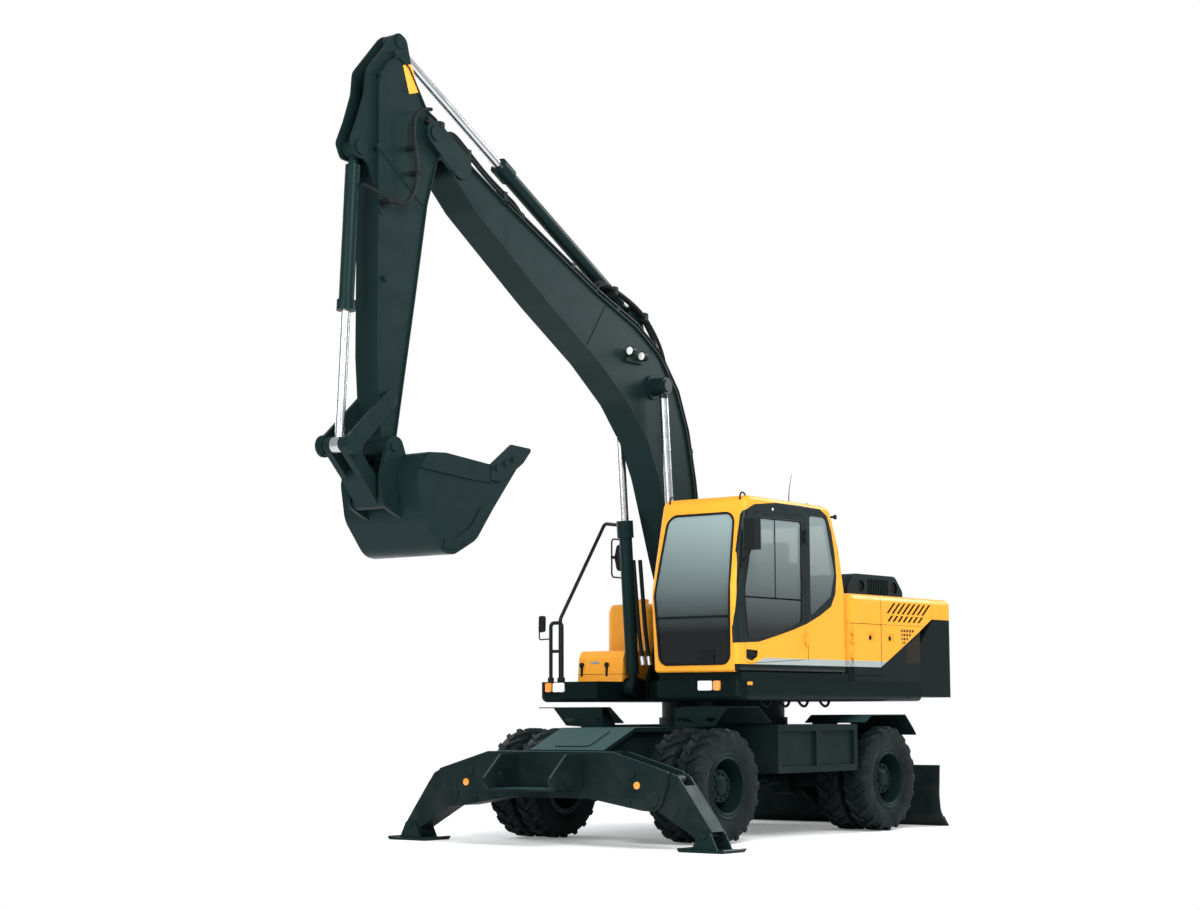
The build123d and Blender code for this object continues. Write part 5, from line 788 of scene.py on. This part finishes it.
def tinted_glass(name):
    """Glass with a painted sky reflection: dark at the sill and a pale sky tone at the top, paler in the
    windscreen.
    """
    r = Recipe(name)
    front = r.every(r.short_of("Y", SIDE_GLASS_FACE), r.past("X", SCREEN_FACE))
    # Painted reflection: the colour climbs from dark at the sill to the pale sky that the glass would mirror at
    # the top.
    lift = r.math("POWER", r.span(r.axis("Z"), *GLASS_HEIGHTS), 1.05)
    pane = r.mix(lift, (0.018, 0.020, 0.021), (0.27, 0.335, 0.33))
    screen = r.mix(lift, (0.008, 0.009, 0.010), (0.30, 0.395, 0.395))
    return r.finished(r.noise(3.0, 2.0), 0.01, 0.001, Base_Color=r.mix(front, pane, screen), Roughness=0.04,
                      Alpha=r.span(front, 0.0, 1.0, 0.70, 0.84), Specular_IOR_Level=0.3)


# ---------------------------------------------------------------- wheels
WHEELS = [(f"{end}_{side}", sign, x) for end, x in (("front", 1696.0), ("rear", -1174.0))
          for side, sign in (("left", 1), ("right", -1))]
AXLE_HEIGHT = 527.5
PAIR_MIDDLES = (1108.0, 793.0)
RIM_FACE = 1225.0
HUB_FACE = 1143.0
DISC_FACE = 968.5
# Half section of a tyre in metres, (across, reach), and a lug's ridge (across, reach, lean) over its root
CARCASS = [(-0.108, 0.300), (-0.118, 0.304), (-0.127, 0.330), (-0.134, 0.375), (-0.1345, 0.420),
           (-0.130, 0.462), (-0.120, 0.490), (-0.100, 0.500)]
CROWN = (0.0, 0.504)
LUG_TOPS = [(-0.010, 0.5265, 0.0), (0.055, 0.5265, 0.05), (0.108, 0.524, 0.10), (0.129, 0.503, 0.12),
            (0.1343, 0.460, 0.125), (0.1343, 0.425, 0.125)]
LUG_ROOTS = [(-0.010, 0.490), (0.055, 0.490), (0.100, 0.486), (0.112, 0.474), (0.122, 0.445), (0.126, 0.420)]
LUG_SLANT = 1.6
TOP_HALF, ROOT_HALF = 0.024, 0.034
LUGS = 20


class EXCAVATOR_OT_tyres(bpy.types.Operator):
    """Twin tyres with slanted lugs on every wheel"""
    bl_idname = "excavator.tyres"
    bl_label = "Tyres"

    def execute(self, context):
        profile = [*CARCASS, CROWN, *((-across, reach) for across, reach in reversed(CARCASS))]
        for name, sign, x in WHEELS:
            mesh_data = bmesh.new()
            for middle in PAIR_MIDDLES:
                centre = spot(x, sign * middle, AXLE_HEIGHT)
                turned_mesh(mesh_data, profile, centre, LEFT, segments=96, loop=True)
                for side in (-1, 1):
                    for k in range(LUGS):
                        start = 2 * math.pi * (k + (0.5 if side > 0 else 0)) / LUGS
                        self.lug(mesh_data, centre, side, start)
            tyres = piece(f"tread_{name}", mesh_data, f"wheel_{name}", "rubber", 30.0)
            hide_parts(f"{name}_tyres")
        return {"FINISHED"}

    def lug(self, mesh_data, centre, side, start):
        rows = []
        for (across, top, lean), (inner, root) in zip(LUG_TOPS, LUG_ROOTS):
            row = []
            for along, reach, half in ((across, top, TOP_HALF), (inner, root, ROOT_HALF)):
                for way in (-1, 1):
                    turn = start + lean * LUG_SLANT + way * half / reach
                    out = Vector((math.cos(turn) * reach, side * along, math.sin(turn) * reach))
                    row.append(mesh_data.verts.new(centre + out))
            rows.append([row[0], row[1], row[3], row[2]])
        bridge(mesh_data, rows, ends=True)


class EXCAVATOR_OT_rims(bpy.types.Operator):
    """Lock rings, hub caps, hand holes and hub bolts on every wheel"""
    bl_idname = "excavator.rims"
    bl_label = "Rims"

    def execute(self, context):
        cap = [(-0.01, 0.0), (-0.01, 0.088), (0.016, 0.086), (0.030, 0.070), (0.036, 0.040), (0.038, 0.0)]
        hole = [(-0.004, 0.0), (-0.004, 0.021), (0.003, 0.021), (0.003, 0.0)]
        for name, sign, x in WHEELS:
            body = f"wheel_{name}"
            out = Vector((0, sign, 0))
            hub = spot(x, sign * HUB_FACE, AXLE_HEIGHT)
            mesh_data = bmesh.new()
            for reach, thick in ((0.257, 0.009), (0.294, 0.010)):
                ring = circle(spot(x, sign * RIM_FACE, AXLE_HEIGHT), AHEAD, UP, reach, 72)
                tube_mesh(mesh_data, ring, thick, sides=8, closed=True)
            turned_mesh(mesh_data, cap, hub, out)
            piece(f"lock_rings_{name}", mesh_data, body, "gear")
            disc = spot(x, sign * DISC_FACE, AXLE_HEIGHT)
            holes = [place for place, _ in ring_of_bolts(disc, out, 0.205, 8)]
            turned_piece(f"hand_holes_{name}", hole, holes, out, 20, body, "black")
            bolt_heads(f"hub_bolts_{name}", ring_of_bolts(hub, out, 0.121, 10), 0.030, body, "gear")
        return {"FINISHED"}


# ---------------------------------------------------------------- cab
# Outlines of (across, up, corner radius) in millimetres, the windscreen's from the front, the others' from
# the side
WINDSCREEN = [(330, 1650, 90), (300, 2300, 200), (345, 3075, 110), (1110, 3075, 110), (1165, 2300, 200),
              (1135, 1650, 90)]
DOOR_GLASS = [(1345, 1885, 60), (1395, 2330, 400), (1215, 3035, 90), (410, 3045, 40), (410, 2060, 60),
              (810, 1940, 200)]
CAB_NOSE = rounded([(900, 1575, 0), (1508, 1575, 0), (1552, 2330, 500), (1345, 3190, 0)])
NOSE_FOOT = 1300
BAR_HEIGHT = 2093
PLATE = (882, 1715)
PLATE_HALF = (80, 66)
DOOR_BARS = (((848, 1206, 2277), (872, 1224, 3040)), ((415, 1206, 2266), (1388, 1222, 2288)),
             ((1185, 1214, 1722), (1365, 1229, 1748)))
ANTENNA = [(120, 900, 3225), (105, 900, 3400), (60, 900, 3560)]
ROOF_LOOP = [(1330, 3185), (1345, 3262), (1250, 3275), (1235, 3205)]
ROOF_CLIP = ((-235, 1222, 3105), (-190, 1244, 3150))
CLIP_STUB = [(-212, 1233, 3128), (-150, 1215, 3124), (-60, 1150, 3110)]


def nose_x(z):
    """How far forward the cab's front reaches at a height, in millimetres."""
    rising = [tuple(point) for point in CAB_NOSE if point[0] > NOSE_FOOT]
    for (x0, z0), (x1, z1) in zip(rising, rising[1:]):
        if z0 <= z <= z1:
            return x0 + (x1 - x0) * (z - z0) / (z1 - z0)
    return rising[0][0] if z < rising[0][1] else rising[-1][0]


def lengthened(rows):
    """Rows with more points on the long edges, so that they follow the bent front."""
    longer = []
    for row, ahead in zip(rows, rows[1:] + rows[:1]):
        longer.append(row)
        if abs(ahead[1] - row[1]) > 400:
            longer += [(row[0] + (ahead[0] - row[0]) * share, row[1] + (ahead[1] - row[1]) * share, 0)
                       for share in (0.42, 0.5, 0.58)]
    return longer


class EXCAVATOR_OT_cab_trim(bpy.types.Operator):
    """Window rubbers, bars, handle, antenna and roof loops of the cab"""
    bl_idname = "excavator.cab_trim"
    bl_label = "Cab trim"

    def execute(self, context):
        rubber = bmesh.new()
        screen = [spot(nose_x(z) + 2, y, z) for y, z in rounded(lengthened(WINDSCREEN), 6)]
        tube_mesh(rubber, screen, 0.011, closed=True)
        tube_mesh(rubber, [spot(nose_x(BAR_HEIGHT) + 3, y, BAR_HEIGHT) for y in (312, 735, 1152)], 0.010)
        (y, z), (half_y, half_z) = PLATE, PLATE_HALF
        soft_block(rubber, spot(nose_x(z) - 4, y - half_y, z - half_z),
                   spot(nose_x(z) + 7, y + half_y, z + half_z), 0.003)
        piece("windscreen_rubber", rubber, "upper", "gasket")
        door = bmesh.new()
        tube_mesh(door, [spot(x, 1226, z) for x, z in rounded(DOOR_GLASS, 6)], 0.009, closed=True)
        for low, high in DOOR_BARS:
            soft_block(door, spot(*low), spot(*high))
        piece("door_trim", door, "cab_door", "gasket")
        roof = bmesh.new()
        cap = [(-0.02, 0.0), (-0.02, 0.030), (0.010, 0.028), (0.018, 0.016), (0.020, 0.0)]
        for x in (40, 476):
            turned_mesh(roof, cap, spot(x, 1060, 3236), UP, 24)
        tube_mesh(roof, [spot(*place) for place in ANTENNA], 0.005, taper=[0.006, 0.004, 0.002])
        for y in (1150, 330):
            tube_mesh(roof, smooth_run([spot(x, y, z) for x, z in ROOF_LOOP]), 0.008)
        soft_block(roof, *(spot(*corner) for corner in ROOF_CLIP), 0.006)
        tube_mesh(roof, [spot(*place) for place in CLIP_STUB], 0.012)
        piece("roof_trim", roof, "upper", "black")
        glass = [(-0.004, 0.0), (-0.004, 0.014), (0.004, 0.013), (0.006, 0.0)]
        turned_piece("door_lamp", glass, [spot(901, 1229, 3129)], LEFT, 20, "cab_door", "clear")
        return {"FINISHED"}


# ---------------------------------------------------------------- hoses
# Routes in millimetres: (x, z) from the side, the foot hoses (y, z) from the front, the tip hoses x only
ARM_HOSE = [(4443, 6473), (4598, 6448), (4674, 6333), (4659, 6086), (4606, 5873), (4668, 5657), (4794, 5554),
            (4969, 5558)]
ARM_CLIPS = (ARM_HOSE[3], ARM_HOSE[4], ARM_HOSE[7])
BEND_PIPE = [(2035, 5325), (1800, 5273), (1529, 5184), (1318, 5074), (1155, 4916), (1040, 4760), (985, 4600)]
TIP_HOSE = (4180, 3950, 3700, 3450, 3250)
FOOT_HOSES = [(-290, 2705), (-255, 2307), (-221, 1911), (-174, 1664)]
DECK_LOOP = [(90, 1020, 1315), (70, 1035, 1262), (-40, 1035, 1250), (-90, 1020, 1315)]
ABOVE_ALL = 8000                # a ray from here meets the boom's top first
TIP_ASIDE = 152


def boom_skin(start, way, sink):
    """Point a little under the boom's skin, where a line from start meets it."""
    boom = NODES["boom"]
    back = boom.matrix_world.inverted()
    hit, place, _, _ = boom.ray_cast(back @ start, (back.to_3x3() @ way).normalized())
    return boom.matrix_world @ place + way * sink if hit else start


def boom_top(x, sink, aside=TIP_ASIDE):
    return boom_skin(boom_spot(x, ABOVE_ALL, aside), -UP, sink)


class EXCAVATOR_OT_hoses(bpy.types.Operator):
    """Hoses and pipes along the arm, the boom and the deck"""
    bl_idname = "excavator.hoses"
    bl_label = "Hoses"

    def execute(self, context):
        self.arm()
        context.view_layer.update()
        self.boom()
        self.deck()
        return {"FINISHED"}

    def arm(self):
        arm = bmesh.new()
        run = [boom_spot(x + 50, z + 6, 200) for x, z in ARM_HOSE]
        run += [boom_spot(5175, 5645, 170), boom_spot(5222, 5690, 72)]
        tube_mesh(arm, smooth_run(run), 0.017, 12)
        for x, z in ARM_CLIPS:
            soft_block(arm, boom_spot(x + 24, z - 14, 112), boom_spot(x + 76, z + 26, 221), 0.006)
        piece("arm_hose", arm, "arm", "hose")

    def boom(self):
        boom = bmesh.new()
        for aside, shift in ((150, 0), (105, 22)):
            run = [boom_spot(x + shift, z + shift, aside) for x, z in BEND_PIPE]
            foot = boom_skin(boom_spot(-500, 4540, aside), AHEAD, 0.006)
            tube_mesh(boom, smooth_run([boom_top(2120, 0.006, aside), *run, foot]), 0.019, 12)
        for lift in (0.040, 0.076):
            run = [boom_top(x, -lift) for x in TIP_HOSE]
            tube_mesh(boom, smooth_run([boom_top(4235, 0.006), *run, boom_top(3170, 0.006)]), 0.015, 12)
        for x, z in ((1800, 5262), (1318, 5070)):
            soft_block(boom, boom_spot(x - 34, z - 40, 60), boom_spot(x + 34, z + 44, 172), 0.008)
        for x in (3950, 3450):
            foot = boom_top(x, 0.03)
            soft_block(boom, foot - Vector((0.03, 0.018, 0.0)), foot + Vector((0.03, 0.018, 0.125)), 0.006)
        for x, z in ((4479, 6391), (4322, 6379), (4387, 6275)):
            soft_block(boom, boom_spot(x - 38, z - 34, 138), boom_spot(x + 38, z + 34, 178), 0.010)
        piece("boom_hoses", boom, "boom", "hose")

    def deck(self):
        loops = [smooth_run([spot(x + shift, y, z) for shift, y, z in DECK_LOOP])
                 for x in (760, 420, 90, -300)]
        tube_piece("deck_hoses", loops, 0.014, 10, "upper", "hose")
        runs = [smooth_run([spot(1000 + shift * 0.6, y - shift, z) for y, z in FOOT_HOSES])
                for shift in (0, 56)]
        hoses = tube_piece("foot_hoses", runs, 0.021, 12, None, "hose")
        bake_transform(hoses)
        tube_piece("hose_ferrules", [[run[-3], run[-1]] for run in runs], 0.027, 14, "upper", "zinc")


# ---------------------------------------------------------------- seat
# Side outlines of (x, z, corner radius) and half widths, in millimetres
SEAT_Y = 740.0
SEAT = {"seat_cushion": ([(694, 1982, 30), (168, 1982, 20), (168, 2092, 30), (712, 2098, 50)], 262),
        "seat_back": ([(312, 1990, 30), (148, 1990, 30), (78, 2650, 50), (246, 2650, 50)], 252),
        "seat_head": ([(236, 2625, 30), (104, 2625, 30), (86, 2866, 45), (206, 2866, 45)], 142)}
# How far out of the middle a section stands, and how much it swells there
CROWNED = ((-1.0, 1.0), (-0.97, 1.02), (-0.9, 1.04), (-0.5, 1.06), (0.0, 1.06), (0.5, 1.06), (0.9, 1.04),
           (0.97, 1.02), (1.0, 1.0))


class EXCAVATOR_OT_seat(bpy.types.Operator):
    """Stuffed cushion, backrest and headrest of the driver's seat"""
    bl_idname = "excavator.seat"
    bl_label = "Seat"

    def execute(self, context):
        for name, (rows, half) in SEAT.items():
            mesh_data = bmesh.new()
            outline = rounded(rows, 5)
            middle = sum(outline, Vector((0, 0))) / len(outline)
            rings = []
            for share, swell in CROWNED:
                ring = [middle + (point - middle) * swell for point in outline]
                rings.append([mesh_data.verts.new(spot(x, SEAT_Y + share * half, z)) for x, z in ring])
            bridge(mesh_data, rings, ends=True)
            piece(name, mesh_data, "upper", "cloth")
        return {"FINISHED"}


# ---------------------------------------------------------------- small fittings
LATCH = [(-0.004, 0.0), (-0.004, 0.026), (0.003, 0.026), (0.006, 0.020), (0.006, 0.0)]
STRAP_CAP = [(-0.02, 0.0), (-0.02, 0.024), (0.020, 0.024), (0.026, 0.018), (0.026, 0.0)]
REFLECTOR = [(-0.004, 0.0), (-0.004, 0.034), (0.008, 0.032), (0.011, 0.0)]
LAMP_GLASS = [(-0.004, 0.0), (-0.004, 0.038), (0.003, 0.037), (0.007, 0.026), (0.008, 0.0)]
ARM_PLATE = [(4776, 6828), (4669, 6860), (4568, 6629), (4694, 6589)]
ARM_PINS = [(4880, 6911), (5060, 6678), (5085, 6038), (5052, 5479), (4990, 4900)]


class EXCAVATOR_OT_small_fittings(bpy.types.Operator):
    """Latches, reflectors, plates, weld seams and cover bolts"""
    bl_idname = "excavator.small_fittings"
    bl_label = "Small fittings"

    def execute(self, context):
        for name, x, body in (("door", -862, "door_left"), ("panel", -1245, "upper")):
            turned_piece(f"latch_{name}", LATCH, [spot(x, 1222, 1945)], LEFT, 28, body, "black")
        straps = bmesh.new()
        for y in (-1002, -685):
            turned_mesh(straps, STRAP_CAP, spot(1030, y, 1675), AHEAD, 24)
            soft_block(straps, spot(1015, y - 12, 1560), spot(1048, y + 12, 1700), 0.005)
        piece("toolbox_latches", straps, "upper", "black")
        self.block("toolbox_handle", (1016, -906, 1683), (1038, -779, 1709), 0.011, "zinc")
        turned_piece("beam_reflectors", REFLECTOR, [spot(2781, y, 560) for y in (-1006.2, 1006.2)], AHEAD, 28,
                     "undercarriage", "amber")
        self.block("deck_marker", (1290, 1226, 1452), (1370, 1244, 1484), 0.005, "amber")
        plate = bmesh.new()
        outline_plate(plate, ARM_PLATE, BOOM_Y * 1000 + 114, 7)
        piece("arm_plate", plate, "arm", "panel", 0)
        turned_piece("work_lamp_glass", LAMP_GLASS, [spot(1652, 90, 4690), spot(1460, 90, 4660)], AHEAD, 28,
                     "boom", "clear")
        seam = [boom_spot(1937, 5115, 150), boom_spot(2233, 4686, 150)]
        tube_piece("boom_weld", [seam], 0.006, 8, "boom", "frame")
        seam = [boom_spot(5085, 6038, 118), boom_spot(4505, 5614, 118)]
        tube_piece("arm_weld", [seam], 0.007, 8, "arm", "frame")
        bolt_heads("arm_bolts", [(boom_spot(x, z, 117), LEFT) for x, z in ARM_PINS], 0.040, "arm", "frame")
        return {"FINISHED"}

    def block(self, name, low, high, edge, finish):
        mesh_data = bmesh.new()
        soft_block(mesh_data, spot(*low), spot(*high), edge)
        piece(name, mesh_data, "upper", finish)


# ---------------------------------------------------------------- studio
# Where each lamp stands, its size in metres and its power in watts
LAMPS = {"key": ((7.5, 11.0, 11.0), 7.0, 2300.0), "front fill": ((15.0, 1.0, 5.0), 8.0, 1150.0),
         "back": ((-11.0, 4.0, 9.0), 7.0, 1300.0), "right fill": ((-2.0, -13.0, 7.0), 8.0, 900.0)}
LAMP_TARGET = Vector((0.0, 0.0, 2.2))
SKY = (0.93, 0.97, 1.0, 1)
FLOOR_FADE = (4.2, 6.5)         # metres from the middle over which the floor turns white


class EXCAVATOR_OT_stage(bpy.types.Operator):
    """Set the camera, the lights and the pale floor"""
    bl_idname = "excavator.stage"
    bl_label = "Stage"

    def execute(self, context):
        view = context.scene.excavator_stage
        camera = bpy.data.objects.new("camera", bpy.data.cameras.new("camera"))
        context.scene.collection.objects.link(camera)
        camera.data.lens = view.lens
        camera.data.sensor_width = 36.0
        camera.data.clip_end = 300.0
        level = math.cos(view.pitch)
        ahead = Vector((level * math.cos(view.heading), level * math.sin(view.heading), math.sin(view.pitch)))
        right = Vector((math.sin(view.heading), -math.cos(view.heading), 0.0))
        up = right.cross(ahead)
        rolled_right = math.cos(view.roll) * right + math.sin(view.roll) * up
        rolled_up = math.cos(view.roll) * up - math.sin(view.roll) * right
        turn = Matrix((rolled_right, rolled_up, -ahead)).transposed().to_4x4()
        camera.matrix_world = Matrix.Translation(Vector(view.eye)) @ turn
        context.scene.camera = camera

        context.scene.view_settings.view_transform = "Standard"
        self.world(context)
        self.lamps(context)
        self.floor(context)
        return {"FINISHED"}

    def world(self, context):
        """Pale light all round, white where the camera or glass looks at it."""
        world = bpy.data.worlds.new("studio")
        context.scene.world = world
        world.use_nodes = True
        tree = world.node_tree
        tree.nodes.clear()
        out, swap, rays, seen, light, either = (tree.nodes.new(f"ShaderNode{kind}") for kind in (
            "OutputWorld", "MixShader", "LightPath", "Background", "Background", "Math"))
        for background, colour, strength in ((seen, WHITE, 1.0), (light, SKY, 0.55)):
            background.inputs["Color"].default_value = colour
            background.inputs["Strength"].default_value = strength
        either.operation = "MAXIMUM"
        for a, b in ((rays.outputs["Is Camera Ray"], either.inputs[0]),
                     (rays.outputs["Is Transmission Ray"], either.inputs[1]),
                     (either.outputs[0], swap.inputs[0]), (light.outputs[0], swap.inputs[1]),
                     (seen.outputs[0], swap.inputs[2]), (swap.outputs[0], out.inputs["Surface"])):
            tree.links.new(a, b)

    def lamps(self, context):
        for name, (place, size, power) in LAMPS.items():
            lamp = bpy.data.lights.new(name, "AREA")
            lamp.shape = "SQUARE"
            lamp.size = size
            lamp.energy = power
            obj = bpy.data.objects.new(name, lamp)
            context.scene.collection.objects.link(obj)
            obj.location = place
            obj.rotation_euler = (LAMP_TARGET - Vector(place)).to_track_quat("-Z", "Y").to_euler()

    def floor(self, context):
        """Pale floor that the camera sees fade to white away from the middle."""
        mesh_data = bmesh.new()
        bmesh.ops.create_grid(mesh_data, x_segments=8, y_segments=8, size=120.0)
        mesh = bpy.data.meshes.new("floor")
        mesh_data.to_mesh(mesh)
        mesh_data.free()
        obj = bpy.data.objects.new("floor", mesh)
        context.scene.collection.objects.link(obj)
        obj.location.z = -0.002
        r = Recipe("studio floor")
        r.set(Base_Color=(0.92, 0.92, 0.92, 1), Roughness=0.9)
        glow, white = r.add("ShaderNodeEmission"), r.add("ShaderNodeEmission")
        for emission, strength in ((glow, 0.16), (white, 1.0)):
            emission.inputs["Color"].default_value = WHITE
            emission.inputs["Strength"].default_value = strength
        both, rays = r.add("ShaderNodeAddShader"), r.add("ShaderNodeLightPath")
        swap, far = r.add("ShaderNodeMixShader"), r.add("ShaderNodeMixShader")
        away = r.add("ShaderNodeVectorMath", operation="LENGTH")
        r.link(r.place, away.inputs[0])
        for a, b in ((r.shader.outputs[0], both.inputs[0]), (glow.outputs[0], both.inputs[1]),
                     (r.span(away.outputs["Value"], *FLOOR_FADE), far.inputs[0]),
                     (both.outputs[0], far.inputs[1]), (white.outputs[0], far.inputs[2]),
                     (rays.outputs["Is Camera Ray"], swap.inputs[0]), (r.shader.outputs[0], swap.inputs[1]),
                     (far.outputs[0], swap.inputs[2]), (swap.outputs[0], r.out.inputs["Surface"])):
            r.link(a, b)
        mesh.materials.append(r.material)


class EXCAVATOR_PT_panel(bpy.types.Panel):
    """List of the finish's steps"""
    bl_label = "Excavator"
    bl_idname = "EXCAVATOR_PT_panel"
    bl_space_type = "VIEW_3D"
    bl_region_type = "UI"
    bl_category = "Excavator"

    def draw(self, context):
        for operator in STEPS:
            self.layout.operator(operator.bl_idname)
        for group in (context.scene.excavator_paint, context.scene.excavator_stage):
            for name in group.bl_rna.properties.keys():
                if name not in ("rna_type", "name"):
                    self.layout.prop(group, name)


STEPS = (EXCAVATOR_OT_cad_finishes, EXCAVATOR_OT_tyres, EXCAVATOR_OT_rims, EXCAVATOR_OT_cab_trim,
         EXCAVATOR_OT_hoses, EXCAVATOR_OT_seat, EXCAVATOR_OT_small_fittings, EXCAVATOR_OT_stage)
CLASSES = (ExcavatorPaint, ExcavatorStage, *STEPS, EXCAVATOR_PT_panel)


def register():
    for cls in CLASSES:
        bpy.utils.register_class(cls)
    bpy.types.Scene.excavator_paint = PointerProperty(type=ExcavatorPaint)
    bpy.types.Scene.excavator_stage = PointerProperty(type=ExcavatorStage)


def unregister():
    del bpy.types.Scene.excavator_stage
    del bpy.types.Scene.excavator_paint
    for cls in reversed(CLASSES):
        bpy.utils.unregister_class(cls)


def main():
    register()
    for operator in STEPS:
        group, step = operator.bl_idname.split(".")
        getattr(getattr(bpy.ops, group), step)()


if __name__ == "__main__":
    main()
